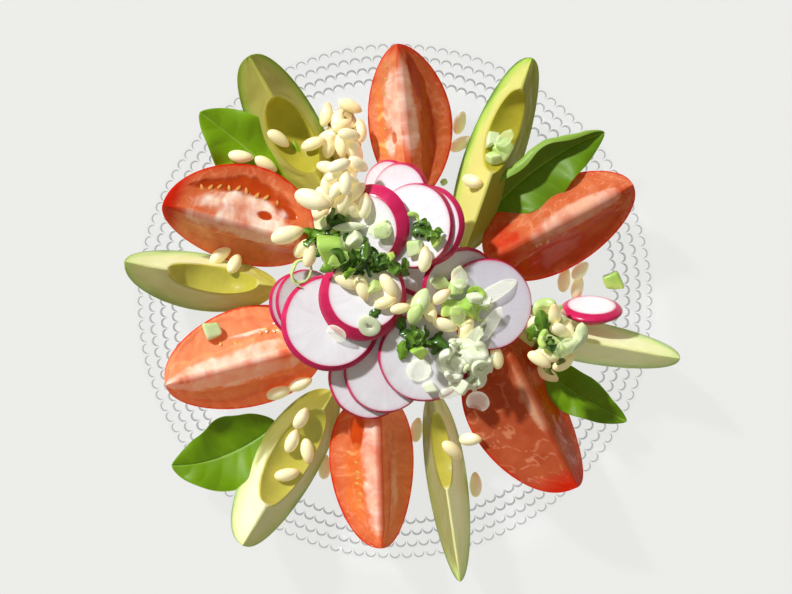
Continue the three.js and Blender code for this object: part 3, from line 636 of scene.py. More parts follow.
def sector(wedge):
    """Angle from straight down, share of the way from ridge to skin, and stretch of the section
    (inner arc, left face, skin or right face) for each column. Left is as seen from heel to tip."""
    left, right = np.radians(wedge["left"]), np.radians(wedge["right"])
    runs = [
        (np.linspace(-right, left, INNER_STEPS), np.zeros(INNER_STEPS), INNER),
        (np.full(FACE_STEPS, left), np.linspace(0, 1, FACE_STEPS), LEFT),
        (np.linspace(left, -right, SKIN_STEPS), np.ones(SKIN_STEPS), SKIN),
        (np.full(FACE_STEPS, -right), np.linspace(1, 0, FACE_STEPS), RIGHT),
    ]
    angle = np.concatenate([run[0][1:] for run in runs])
    share = np.concatenate([run[1][1:] for run in runs])
    side = np.concatenate([np.full(len(run[0]) - 1, run[2]) for run in runs])
    return angle[None, :], share[None, :], side[None, :]


def wedge_points(wedge, s, angle, share, into=0.0):
    """Points of a wedge in its own frame, X from heel to tip: at s along it, at an angle from
    straight down and a share of the way out, moved into the cut faces by a depth. Where there is
    no hollow, the inner arc is mirrored in its own chord, so that the ridge is rounded."""
    inner, outer = radii(wedge, s)
    out = inner + share * (outer - inner)
    across = -np.sign(angle) * into * (outer > 0.01)
    y = out * np.sin(angle) + across * np.cos(angle)
    z = -out * np.cos(angle) + across * np.sin(angle)
    left, right = np.radians(wedge["left"]), np.radians(wedge["right"])
    slope = (np.cos(left) - np.cos(right)) / (np.sin(left) + np.sin(right))
    chord = -inner * (np.cos(right) + slope * (np.sin(angle) + np.sin(right)))
    rounding = (share == 0) * (1 - ramp(inner, wedge["ridge"], wedge["ridge"] + 2))
    z = z + 2 * (chord - z) * rounding
    x = np.broadcast_to((s - 0.5) * wedge["length"], y.shape)
    return np.stack([x, y, z], -1)


# %% Where a wedge lies
def wedge_place(wedge, points):
    """Turns a wedge to its bearing, pitches its tip up and lets it down onto the plate."""
    tip, heel = np.array(wedge["tip"]), np.array(wedge["heel"])
    bearing = np.arctan2(*(tip - heel)[::-1])
    pitch = np.radians(wedge["pitch"])
    level = np.array([np.cos(bearing), np.sin(bearing), 0])
    along = level * np.cos(pitch) + [0, 0, np.sin(pitch)]
    across = np.array([-np.sin(bearing), np.cos(bearing), 0])
    axes = np.array([along, across, np.cross(along, across)])
    origin = np.array([*(tip + heel) / 2, 0.0])
    x, y, z = (points.reshape(-1, 3) @ axes + origin).T
    drop = plate_top(np.hypot(x, y)) + GAP - z
    return axes, origin + [0, 0, drop.max()]


def prepared(wedge, defaults):
    """The wedge's numbers with its defaults and its length along the pitched axis."""
    wedge = {**defaults, **wedge}
    run = np.hypot(*np.subtract(wedge["tip"], wedge["heel"]))
    wedge["length"] = run / np.cos(np.radians(wedge["pitch"]))
    return wedge


def by_face(side, left, right):
    """One value on the left face, another on the right one, and 0 elsewhere."""
    return np.select([side == LEFT, side == RIGHT], [left, right], 0.0)


# %% [markdown]
# ### Tomato
# The cut face of a tomato shows its outer wall, chambers filled with orange gel and yellow seeds,
# and a pale core along the ridge, with fibres that run from the core into the chambers. No two
# wedges are cut alike, so each face lists its own patches: a kind, where its middle is along the
# wedge and out from the ridge, and its half size each way. A patch is an ellipse with an edge made
# uneven by noise. Kinds are core, gel, pulp (gel full of orange fibres), slot (a small chamber
# inside the core) and red (flesh near the skin). The other numbers give a wedge its own cast: where
# the red of its tip begins (red) and how white its core and how full its pulp is (pith, pulp). Deep
# browns the flesh, partly as its own colour and partly as painted shade, most on the fifth wedge,
# in the shadow of the pile. The painted glow is painted light, a red-orange glow that stands for
# light shining through the flesh. The left and right painted light are painted light too: each
# lightens one face so that it looks more brightly lit.

# %% Tomato wedges: their places and what their faces show
TOMATO = dict(
    ridge=2.6, lean=1.0, blunt=0.55, pitch=5, red=0.93, pith=0.8, deep=0.1, glow=0.2, pulp=1.0,
    left_painted_light=0.0, right_painted_light=0.0, left_seeds=(), right_seeds=())
TOMATOES = [
    dict(tip=(1, 117), heel=(8, 45), radius=28, left=37, right=53, red=0.9, left_painted_light=0.35,
         left_face=[("core", 0.6, 0.25, 0.24, 0.42), ("pulp", 0.58, 0.72, 0.26, 0.1),
                    ("core", 0.38, 0.45, 0.09, 0.24), ("pulp", 0.36, 0.7, 0.12, 0.14),
                    ("slot", 0.4, 0.3, 0.05, 0.12)],
         right_face=[("core", 0.58, 0.0, 0.32, 0.24), ("gel", 0.38, 0.48, 0.4, 0.24),
                     ("gel", 0.75, 0.4, 0.2, 0.25)],
         left_seeds=[(0.7, 0.86, 0.55, 3), (0.34, 0.48, 0.64, 3)]),
    dict(tip=(-105.5, 43.5), heel=(-38, 25.5), radius=30, left=34, right=74, lean=0.88, blunt=0.48,
         red=0.84, pith=1.0, left_painted_light=0.6,
         left_face=[("gel", 0.36, 0.6, 0.4, 0.36), ("core", 0.45, 0.0, 0.4, 0.3)],
         right_face=[("gel", 0.52, 0.62, 0.34, 0.19), ("core", 0.5, 0.25, 0.3, 0.33),
                     ("core", 0.25, 0.05, 0.2, 0.18), ("gel", 0.22, 0.42, 0.07, 0.16),
                     ("slot", 0.33, 0.21, 0.07, 0.09)],
         right_seeds=[(0.3, 0.8, 0.55, 9)]),
    dict(tip=(-104, -38), heel=(-34, -20), radius=30, left=43, right=60, lean=0.85, blunt=0.45,
         red=0.97, pith=0.95, glow=0.9, left_painted_light=0.55, right_painted_light=0.75,
         left_face=[("gel", 0.55, 0.62, 0.34, 0.2), ("core", 0.58, 0.08, 0.48, 0.34)],
         right_face=[("gel", 0.58, 0.6, 0.34, 0.3), ("gel", 0.32, 0.36, 0.1, 0.14),
                     ("core", 0.58, 0.0, 0.48, 0.24), ("core", 0.36, 0.14, 0.14, 0.15),
                     ("core", 0.42, 0.5, 0.12, 0.045)],
         right_seeds=[(0.25, 0.34, 0.5, 3), (0.5, 0.6, 0.42, 2)]),
    dict(tip=(-6, -112.5), heel=(-8, -43.5), radius=27, left=36, right=60, lean=0.75, blunt=0.45,
         pith=0.65, glow=0.5, left_painted_light=0.9, pulp=0.4,
         left_face=[("gel", 0.3, 0.3, 0.12, 0.2), ("core", 0.58, 0.45, 0.2, 0.16),
                    ("gel", 0.62, 0.22, 0.28, 0.07), ("pulp", 0.6, 0.92, 0.2, 0.1)],
         right_face=[("pulp", 0.56, 0.5, 0.26, 0.3), ("core", 0.5, 0.05, 0.42, 0.26),
                     ("gel", 0.2, 0.4, 0.14, 0.2)],
         right_seeds=[(0.44, 0.68, 0.42, 6)]),
    # Deep 0.85 here is mostly painted shade, for the shadow of the pile on this wedge.
    dict(tip=(82.5, -84), heel=(50, -17), radius=33, left=24, right=76, lean=0.75, blunt=0.42,
         red=0.84, pith=0.7, deep=0.85,
         left_face=[("gel", 0.36, 0.6, 0.34, 0.5)],
         right_face=[("core", 0.42, 0.0, 0.26, 0.1)]),
    dict(tip=(108, 53), heel=(42, 18.5), radius=29, left=45, right=47, lean=0.82, blunt=0.45,
         red=0.97, pith=0.55, deep=0.4,
         left_face=[("core", 0.62, 0.02, 0.26, 0.24), ("red", 0.12, 0.3, 0.13, 0.5)],
         right_face=[("gel", 0.48, 0.55, 0.42, 0.42), ("core", 0.6, 0.0, 0.3, 0.2),
                     ("red", 0.1, 0.3, 0.1, 0.5)],
         right_seeds=[(0.3, 0.38, 0.12, 3)]),
]
print(f"{len(TOMATOES)} tomato wedges")

# %% Patches on a cut face
SOFTNESS = {                      # of an edge: weight of the fibres, where it starts and is full
    "core": (0.35, -0.15, 0.75), "gel": (0.12, -0.1, 0.4), "pulp": (0.45, -0.1, 0.6),
    "slot": (0.1, 0.0, 0.4), "red": (0.4, -0.1, 0.8),
}


def patches(cells, kind, s, share, lumps, fibres):
    """How far inside the patches of one kind a place is: 0 outside and 1 well inside."""
    weight, start, full = SOFTNESS[kind]
    inside = np.full(np.broadcast(s, share).shape, -1.0)
    for name, along, out, half_along, half_out in cells:
        if name == kind:
            near = 1 - ((s - along) / half_along) ** 2 - ((share - out) / half_out) ** 2
            inside = np.maximum(inside, near + lumps + weight * fibres)
    return ramp(inside, start, full)


def faces_of(wedge, kind, s, share, side, lumps, fibres):
    """The patches of one kind on both faces; on the ridge between them the one turns into the
    other."""
    def on(face, out):
        return patches(wedge[face], kind, s, out, lumps, fibres)

    blend = np.zeros(side.shape)
    blend[side == INNER] = np.linspace(0, 1, (side == INNER).sum())
    ridge = on("right_face", 0 * share) * (1 - blend) + on("left_face", 0 * share) * blend
    return np.where(side == INNER, ridge, by_face(side, on("left_face", share), on("right_face", share)))


# %% The tomato wedge
def pocket_depth(s, share):
    """How far the seed pockets sink below a cut face."""
    return 0.8 * POCKET_DEPTH * bump(s, 0.5, 0.4) * bump(share, 0.6, 0.34)


def tomato_part(wedge, seed):
    """A tomato wedge with its masks. Fibres are noise drawn out from the ridge to the skin, and
    they pull the core's edge into soft spikes. Threads are thin pale lines, where another noise
    crosses zero. The gel lies a little deeper than the flesh."""
    s = eased(WEDGE_ROWS)
    angle, share, side = sector(wedge)
    inner, outer = radii(wedge, s)
    on_face = (side == LEFT) | (side == RIGHT)
    along = s + 0.03 * noise(s * 6 + 2 * share, share * 3 - 2 * s, seed + 20)
    across = share + 0.07 * share * noise(s * 8 - share, share * 2 + s * 3, seed + 21)
    across = np.clip(across, 0, 1)
    fan = along + 0.2 * (along - 0.5) * across + 0.02 * noise(along * 14, across * 6, seed + 22)
    fibres = 0.6 * noise(fan * 22 + across, across * 2 + fan * 3, seed)
    fibres = fibres + 0.4 * noise(fan * 71 - across * 3, across * 5 + fan * 9, seed + 5)
    lumps = 0.35 * noise(s * 8 + share, share * 4 - s, seed + 9)
    lumps = lumps + 0.2 * noise(s * 22, share * 9, seed + 2)
    kinds = {kind: faces_of(wedge, kind, along, across, side, lumps, fibres) for kind in SOFTNESS}
    gel = np.maximum(kinds["gel"], kinds["slot"]) * on_face
    core = kinds["core"] * (1 - kinds["slot"]) * wedge["pith"]
    wander = noise(fan * 15 + share, share * 2.4 - s, seed + 14)
    wander = wander + 0.4 * noise(fan * 31, share * 9, seed + 15)
    threads = 1 - ramp(np.abs(wander), 0.02, 0.1)
    wall = (1 - share) * (outer - inner)
    skin = np.where(side == SKIN, 1.0, 1 - ramp(wall + 0.4 * fibres, 0.3, 1.5))
    skin = np.maximum(skin, ramp(s + 0.03 * fibres, wedge["red"], wedge["red"] + 0.12))
    skin = np.maximum(skin, 0.8 * kinds["red"])
    clear = ramp(share * (outer - inner), 0, 3) * ramp(wall, 0, 2.5) * on_face
    relief = 0.12 * noise(s * 20, share * 6, seed + 3) + 0.06 * fibres
    depth = pocket_depth(s, share) * on_face + clear * (0.6 * gel * (1 - core) - relief)
    points = wedge_points(wedge, s, angle, share, depth)
    axes, origin = wedge_place(wedge, wedge_points(wedge, s, angle, share))
    # Painted light: the left and right painted light lighten a whole cut face, with the fibres.
    pale = by_face(side, wedge["left_painted_light"], wedge["right_painted_light"]) * (0.7 + 0.3 * fibres)
    shape = part(
        points, skin=skin, core=core, gel=gel, pulp=kinds["pulp"] * wedge["pulp"], pale=pale,
        fibre=ramp(fibres, -0.1, 0.8), thread=threads * on_face, wall=ramp(wall, 1, 5) * on_face)
    return toned(placed(shape, origin, axes), deep=wedge["deep"], glow=wedge["glow"]), axes, origin


# %% [markdown]
# ### Seeds
# Tomato seeds are flat drops about 3 mm long. They sit in the gel along the core's edge and point
# at it. Each wedge says from where to where they lie, how far out, and how many.

# %% Seed shape and places
SEED_LENGTH = 3.4
SEED_WIDTH = 1.7
SEED_THICK = 1.1


def egg(length, width, thick, rows, columns, lean=0.8, blunt=0.55):
    """A drop: a sine from end to end, leaned and blunted, as an ellipse across. Its mask is how
    far along it a point is."""
    s = eased(rows)
    turn = circle(columns)
    swell = np.sin(np.pi * s ** lean) ** blunt
    x = np.broadcast_to((s - 0.5) * length, (rows, columns))
    y, z = swell * np.cos(turn) * width / 2, swell * np.sin(turn) * thick / 2
    return part(np.stack([x, y, z], -1), along=s)


def seed_part(wedge, spot, share, phi):
    """A seed in a wedge's own frame: at a share of the length and of the way out, on the face at
    an angle from straight down, with its point towards the core."""
    depth = pocket_depth(spot, share) + 0.3
    at = wedge_points(wedge, np.array([spot]), np.array([phi]), np.array([share]), depth)[0]
    tilt = rng.uniform(-0.5, 0.5)
    outward = np.array([0, np.sin(phi), -np.cos(phi)])
    along = outward * np.cos(tilt) + np.array([np.sin(tilt), 0, 0])
    normal = np.array([0, np.cos(phi), np.sin(phi)]) * np.sign(phi)
    size = rng.uniform(0.75, 1.15)
    seed = egg(SEED_LENGTH * size, SEED_WIDTH * size, SEED_THICK, 9, 8)
    return placed(seed, at, np.array([along, np.cross(normal, along), normal]))


def seed_parts(wedge, axes, origin):
    """Seeds along the core's edge on both faces of a wedge."""
    seeds = []
    for rows, angle in ((wedge["left_seeds"], wedge["left"]), (wedge["right_seeds"], -wedge["right"])):
        for start, end, out, count in rows:
            for spot in np.linspace(start, end, count) + rng.uniform(-0.015, 0.015, count):
                share = out + rng.uniform(-0.05, 0.05)
                seed = seed_part(wedge, spot, share, np.radians(angle))
                seeds.append(placed(seed, origin, axes))
    return seeds


# %% Tomato finish
# Every wedge glows a little dull red (Emission Strength): painted light for light shining through the flesh.
tomato = Finish(
    "tomato_flesh", mottle=(110, 1400), wet=(200, 0.16, 0.55), relief=(0.3, 0.0003),
    Subsurface_Weight=0.55, Subsurface_Radius=(1.0, 0.15, 0.04), Subsurface_Scale=0.007,
    IOR=1.33, Specular_IOR_Level=0.1, Coat_Roughness=0.1, Emission_Strength=0.4)
flesh = tomato.layered(tomato.blotched("c04a20", "e88c58"), (("fibre", 0.4), "f0b088"))
# Deep browns the pith too, partly as painted shade.
pith = tomato.layered("fae6d0", ("fibre", "fffaf2"), (("deep", 0.75), "a87428"))
cover = tomato.calculate("MULTIPLY_ADD", tomato.blotch, 1.8, -0.1, clamp=True)
tomato.feed(
    Base_Color=tomato.layered(
        tomato.blotched("c23a18", "d96a3c"),
        (("wall", 0.6, 0.4), flesh),
        # Deep: browner flesh, partly its own colour and partly painted shade.
        ("deep", tomato.blotched("7e2a10", "b05a36")),
        (("thread", 0.3), "f0b48c"),
        ("gel", tomato.blotched("9c2600", "cc500a")),
        ("pulp", tomato.layered("e2741c", ("fibre", "fcc468"))),
        # Painted light: pale lightens a face so that it looks more brightly lit.
        ("pale", "f2b080"),
        (tomato.calculate("MULTIPLY", tomato.mask("core"), cover), pith),
        ("skin", "bc1c06")),
    Coat_Weight=tomato.mask("gel", 0.3, 0.15),
    # Painted light: the glow's colour, red-orange where the painted glow is.
    Emission_Color=tomato.layered("500c00", ("glow", "d04418")))

seed_look = Finish("tomato_seed", mottle=(400, 2000), Subsurface_Weight=0.4, Subsurface_Scale=0.002,
                   Roughness=0.2, Coat_Weight=0.8)
seed_look.feed(Base_Color=seed_look.blotched("d9822a", "f0be6c"))

# %% Lay the tomatoes
all_seeds = []
for number, numbers in enumerate(TOMATOES, 1):
    wedge = prepared(numbers, TOMATO)
    shape, axes, origin = tomato_part(wedge, 10.0 * number)
    show(f"tomato_{number}", [shape], tomato, [f"tomato_wedge_{number}"])
    lay(shape)
    all_seeds += seed_parts(wedge, axes, origin)
show("tomato_seeds", all_seeds, seed_look)

# %% [markdown]
# ### Avocado
# A peeled avocado wedge is dark green where the skin was, turns bright green and then butter
# yellow towards the middle, and is smooth and mustard coloured in the hollow of the stone. The
# finish blends these by the distance from the skin, which the mesh carries. Green says how much
# thicker than usual the green layers are, stalk how brown the heel is, pale and dull how far the
# flesh leans towards cream or towards grey. The left and right painted light are painted light:
# each lightens one face so that it looks more brightly lit. A brown and painted shade is a darker
# olive stretch of one face: painted shade where a face lies in shade or in a neighbour's shadow, and
# on the first wedge also its browner tip. It gives how strong it is, and where it starts and ends
# along the wedge. The flesh also glows a little yellow-green, which is painted light for light
# shining through it.

# %% Avocado wedges
AVOCADO = dict(
    ridge=1.6, lean=1.0, blunt=0.5, pitch=5, pale=0.1, dull=0.0, stalk=0.4, green=1.2,
    left_painted_light=0.0, right_painted_light=0.0, left_brown_and_painted_shade=(0.0, 0.0, 1.0), right_brown_and_painted_shade=(0.0, 0.0, 1.0))
AVOCADOS = [
    dict(tip=(-66, 111), heel=(-30, 47), radius=31, left=33, right=27, blunt=0.36, stone=(0.45, 19, 18),
         dull=0.6, pale=0.0, left_brown_and_painted_shade=(0.3, 0.75, 1.2), right_brown_and_painted_shade=(0.25, 0.7, 1.2)),
    dict(tip=(-122.5, 18), heel=(-54, 7), radius=31, left=34, right=18, blunt=0.42, stone=(0.42, 21, 13.5),
         pale=0.6, stalk=0.8, green=1.5, left_brown_and_painted_shade=(0.3, 0.0, 0.8)),
    dict(tip=(-69, -110.5), heel=(-28, -41.5), radius=31, left=24, right=36, blunt=0.38,
         stone=(0.43, 25, 18), pale=0.75, stalk=0.8, green=1.0,
         left_brown_and_painted_shade=(0.4, 0.0, 1.0), right_brown_and_painted_shade=(0.85, 0.0, 0.5)),
    dict(tip=(29.5, -127), heel=(17, -41.5), radius=30, left=21, right=16, lean=0.85,
         stone=(0.31, 18, 12.5), pale=0.55, left_painted_light=0.3, green=1.4, right_brown_and_painted_shade=(0.8, 0.0, 0.9)),
    dict(tip=(129.5, -26), heel=(54, -12), radius=28, left=20, right=22, lean=0.85, blunt=0.4,
         stone=(0.24, 14, 11), pale=0.6, stalk=0.2, green=1.6, left_painted_light=0.15, right_painted_light=0.4),
    dict(tip=(62, 110), heel=(32, 23.5), radius=31, left=28, right=24, lean=0.88, blunt=0.42,
         stone=(0.62, 20, 15.5), stalk=0.2,
         right_brown_and_painted_shade=(0.8, 0.0, 1.0)),
]
FLESH_DEPTH = 12                  # under the skin, where the flesh has its inmost colour
print(f"{len(AVOCADOS)} avocado wedges")


# %% The avocado wedge
def stretch(s, weight, start, end):
    """A weight on a stretch of the wedge's length, soft at both ends."""
    return weight * ramp(s, start - 0.06, start + 0.06) * (1 - ramp(s, end - 0.12, end + 0.12))


def avocado_part(wedge, seed):
    """An avocado wedge with its masks: the depth under the skin, the hollow, the browner flesh
    near the stalk, the stretches of brown and painted shade on its faces, its tints and painted light."""
    s = eased(WEDGE_ROWS)
    angle, share, side = sector(wedge)
    inner, outer = radii(wedge, s)
    on_face = (side == LEFT) | (side == RIGHT)
    uneven = noise(s * 9, share * 4, seed)
    depth = np.where(side == SKIN, 0.0, (1 - share) * (outer - inner) + 0.6 * uneven)
    depth = np.minimum(depth, 0.55 * outer) / (FLESH_DEPTH * wedge["green"])
    rim = 1 - ramp(share * (outer - inner) + 0.8 * uneven, 0.0, 3.0)
    hollow = ramp(inner, 2.5, 5.5) * np.where(side == INNER, 1.0, rim)
    stalk = wedge["stalk"] * (1 - ramp(s + 0.06 * uneven, 0.06, 0.42))
    brown_and_painted_shades = [stretch(s + 0.08 * uneven, *wedge[name]) for name in ("left_brown_and_painted_shade", "right_brown_and_painted_shade")]
    # Painted light: the face values lighten a face; the wedge's pale leans it all towards cream.
    pale = by_face(side, wedge["left_painted_light"], wedge["right_painted_light"]) + wedge["pale"]
    relief = 0.25 * noise(s * 12, share * 5, seed + 3) * on_face * ramp(share * (1 - share), 0, 0.1)
    points = wedge_points(wedge, s, angle, share, relief)
    axes, origin = wedge_place(wedge, wedge_points(wedge, s, angle, share))
    shape = part(points, depth=np.clip(depth, 0, 1), hollow=hollow, stalk=stalk,
                 shade=by_face(side, *brown_and_painted_shades), pale=np.clip(pale, 0, 1))
    return toned(placed(shape, origin, axes), dull=wedge["dull"])


# %% Avocado finish
# The flesh glows a little yellow-green (Emission), lighter where pale: painted light for light shining
# through it.
avocado = Finish(
    "avocado_flesh", mottle=(110, 1200), wet=(90, 0.3, 0.5), relief=(0.25, 0.0003),
    Subsurface_Weight=0.4, Subsurface_Radius=(0.75, 1.0, 0.1), Subsurface_Scale=0.004, IOR=1.33,
    Specular_IOR_Level=0.14, Coat_Weight=0.02, Coat_Roughness=0.2, Emission_Strength=0.22)
depth = avocado.calculate("MULTIPLY_ADD", avocado.blotch, 0.14, avocado.mask("depth", 1.0, -0.07))
layers = add(avocado.tree, "ShaderNodeValToRGB", {"Fac": depth})
stops = [(0.02, "2c4606"), (0.09, "5f921c"), (0.25, "a4c246"), (0.55, "c8ca68"), (1.0, "cfc66a")]
while len(layers.color_ramp.elements) < len(stops):
    layers.color_ramp.elements.new(0.5)
for element, (position, code) in zip(layers.color_ramp.elements, stops):
    element.position = position
    element.color = colour(code)
inmost = avocado.calculate("MULTIPLY_ADD", depth, 0.7, 0.3)
avocado.feed(
    Base_Color=avocado.layered(
        layers.outputs["Color"],
        # Pale: the wedge's lean towards cream and, on single faces, painted light.
        (avocado.calculate("MULTIPLY", avocado.mask("pale"), inmost), "f6f4d2"),
        ("stalk", "b8aa2a"),
        (("hollow", 0.92), avocado.blotched("94860c", "cabe3a")),
        # Painted shade: olive on stretches of a face in shade, and on the first wedge's browner tip.
        ("shade", "6e600c"),
        (("dull", 0.5), "82783a")),
    Emission_Color=avocado.layered("6a7400", ("pale", "aab664")))

# %% Lay the avocados
for number, numbers in enumerate(AVOCADOS, 1):
    shape = avocado_part(prepared(numbers, AVOCADO), 7.0 * number)
    show(f"avocado_{number}", [shape], avocado, [f"avocado_wedge_{number}"])
    lay(shape)

# %% [markdown]
# ## Basil leaves
# A leaf grows along a curved midrib. Its halves rise from the midrib like a shallow V, its edge is
# wavy, and one edge may curl over. The angle of the blade is summed step by step from the midrib
# outwards, so its width stays true wherever it bends. Side veins run outwards and forwards, and
# the blade swells a little between them.

# %% The leaf formula
LEAF_THICK = 0.8
LEAF_ROWS = 90
LEAF_STEPS = 22                   # from the midrib to an edge
LEAF_FOLD = 14
LEAF_WAVE = 12
LEAF_WAVES = 15
LEAF_VEINS = 7.5                  # side veins on each half
LEAVES = [
    dict(base=(-43, 47, 12), middle=(-66, 70, 12), tip=(-90.5, 87.5, 19), width=37, tone=0.7),
    dict(base=(43, 40, 12), middle=(66, 67, 18), tip=(97, 78, 20), width=34, tone=0.2, curl=110),
    dict(base=(68, -31, 10), middle=(84, -44.5, 12), tip=(108, -56, 14), width=21, tone=0.4),
    dict(base=(-55, -57, 9), middle=(-78, -77, 12), tip=(-104, -76.5, 15), width=35, tone=0.5),
]
print(f"{len(LEAVES)} leaves")


# %% The leaf's surface
def unit(vectors):
    """Vectors, one a row, brought to length 1."""
    return vectors / np.linalg.norm(vectors, axis=1, keepdims=True)


def leaf_part(leaf, seed):
    """A leaf: points along a quadratic curve, and from each the blade's two halves, whose angle is
    the fold, plus the left half's curl by the cube of the share of the width, plus the wave of the
    edge."""
    u = np.linspace(0, 1, LEAF_ROWS)[:, None]
    base, middle, tip = (np.array(leaf[k], float) for k in ("base", "middle", "tip"))
    midrib = (1 - u) ** 2 * base + 2 * u * (1 - u) * middle + u ** 2 * tip
    along = unit((1 - u) * (middle - base) + u * (tip - middle))
    across = unit(np.cross([0, 0, 1.0], along))
    normal = np.cross(along, across)
    half_width = leaf["width"] / 2 * np.sin(np.pi * u ** 0.8) ** 0.7
    step = 1 / LEAF_STEPS
    share = np.arange(1, LEAF_STEPS + 1)[None, :] * step
    later = share + 1 / 6
    halves = []
    for way, curl in ((1, leaf.get("curl", 0)), (-1, 0)):
        wave = LEAF_WAVE * later * np.sin(LEAF_WAVES * u + 2 * way)
        angle = np.radians(LEAF_FOLD + curl * np.minimum(later, 1.1) ** 3 + wave)
        out = way * np.cumsum(np.cos(angle) * step * half_width, 1)
        up = np.cumsum(np.sin(angle) * step * half_width, 1)
        halves.append((out, up, np.broadcast_to(way * share, out.shape)))
    zero = np.zeros((LEAF_ROWS, 1))
    out, up, span = (np.hstack([right[:, ::-1], zero, left]) for left, right in zip(*halves))
    slope_out, slope_up = np.gradient(out, axis=1), np.gradient(up, axis=1)
    size = np.hypot(slope_out, slope_up) + 1e-9
    away = np.abs(span)
    phase = u * LEAF_VEINS - 0.9 * away + 0.12 * noise(u * 5, span * 2, seed)
    lines = np.abs((phase % 1) - 0.5) * 2
    veins = ramp(lines, 0.78, 0.97) * (1 - 0.5 * away)
    rib = 1 - ramp(away * half_width, 0.15, 0.5)
    puff = 0.35 * np.sin(np.pi * (phase % 1)) * bump(away, 0.55, 0.55) * ramp(half_width, 2, 9)
    puff -= 0.25 * rib

    def face(lift):
        aside = out - slope_up / size * lift
        above = up + slope_out / size * lift
        return (midrib[:, None, :] + across[:, None, :] * aside[..., None]
                + normal[:, None, :] * above[..., None])

    thin = LEAF_THICK / 2 * (1 - away ** 6) * np.minimum(1, half_width)
    points = np.concatenate([face(puff + thin), face(puff - thin)[:, ::-1]], 1)
    on_both = {name: np.concatenate([m, m[:, ::-1]], 1) for name, m in (
        ("vein", veins), ("rib", np.broadcast_to(rib, span.shape)))}
    beneath = np.concatenate([np.zeros_like(span), np.ones_like(span)], 1)
    return part(points, under=beneath, **on_both)


# %% Leaf finish
# The leaves glow a little green (Emission): painted light for light shining through them.
leaf_look = Finish(
    "basil_leaf", mottle=(60, 1800), wet=(70, 0.32, 0.5), relief=(0.3, 0.0003),
    Subsurface_Weight=0.15, Subsurface_Radius=(0.5, 1.0, 0.05), Subsurface_Scale=0.001, IOR=1.33,
    Coat_Weight=0.05, Coat_Roughness=0.2, Emission_Strength=0.06, Emission_Color="5a8000")
leaf_look.feed(Base_Color=leaf_look.layered(
    leaf_look.blotched("3e6004", "608608"),
    ("tone", leaf_look.blotched("689802", "98c010")),
    (("vein", 0.15), "86b434"),
    (("rib", 0.8), "9fc455"),
    (("under", 0.5), "a3c45c")))

# %% Lay the leaves
for number, leaf in enumerate(LEAVES, 1):
    shape = toned(leaf_part(leaf, 3.0 * number), tone=leaf["tone"])
    show(f"basil_{number}", [shape], leaf_look, [f"basil_leaf_{number}"])
    lay(shape)

# %% [markdown]
# ## Radish slices
# A slice is a thin disc. Its skin shows as a magenta edge, wider where the root was cut near its
# shoulder, and a little of the colour runs into the white flesh. How each slice tips is read from
# the frame: the widest flat face that looks down is its underside.

# %% Slices: their places
SLICES = {
    "01": dict(x=-3, y=52.5, radius=12.5, thick=1.8),
    "02": dict(x=2.5, y=49.5, radius=14),
    "03": dict(x=11.5, y=18, radius=17.5),
    "04": dict(x=29.5, y=7.5, radius=18),
    "05": dict(x=-43, y=-2, radius=15.5, thick=1.6),
    "06": dict(x=-39, y=-1.5, radius=16.5, thick=1.6),
    "07": dict(x=-11.5, y=-35, radius=19),
    "08": dict(x=-4.5, y=-32, radius=19),
    "09": dict(x=14, y=34, radius=18.5, bevel=1.6),
    "10": dict(x=8.5, y=34, radius=19.5),
    "11": dict(x=42, y=-1.5, radius=21, frost=1.0),
    "12": dict(x=-29, y=-9.5, radius=22.5, bevel=2),
    "13": dict(x=13, y=-25.5, radius=21, bevel=1.4),
    "14": dict(x=-11, y=34.5, radius=18.5, thick=4.5, bevel=3, shift=(-1.3, -1.7)),
    "15": dict(x=-15, y=2, radius=20, thick=4.5, bevel=3.4, shift=(1.9, 1.9)),
}
SLICE = dict(thick=2.6, bevel=0.8, shift=(0.0, 0.0), frost=0.0)
print(f"{len(SLICES)} slices on a pile")


# %% Slices: reading their planes
def underside(node):
    """Normal, towards the inside, and distance of the widest flat face that looks down."""
    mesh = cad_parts[node].data
    normals = np.zeros(len(mesh.polygons) * 3)
    middles = np.zeros_like(normals)
    areas = np.zeros(len(mesh.polygons))
    mesh.polygons.foreach_get("normal", normals)
    mesh.polygons.foreach_get("center", middles)
    mesh.polygons.foreach_get("area", areas)
    normals, middles = normals.reshape(-1, 3), middles.reshape(-1, 3)
    down = normals[:, 2] < -0.1
    keys, which = np.unique(np.round(normals[down], 2), axis=0, return_inverse=True)
    weight = np.bincount(which.ravel(), areas[down])
    chosen = np.flatnonzero(down)[which.ravel() == weight.argmax()]
    normal = -(normals[chosen] * areas[chosen, None]).sum(0)
    normal /= np.linalg.norm(normal)
    distance = (middles[chosen] @ normal * areas[chosen]).sum() / areas[chosen].sum()
    return normal, distance / MM


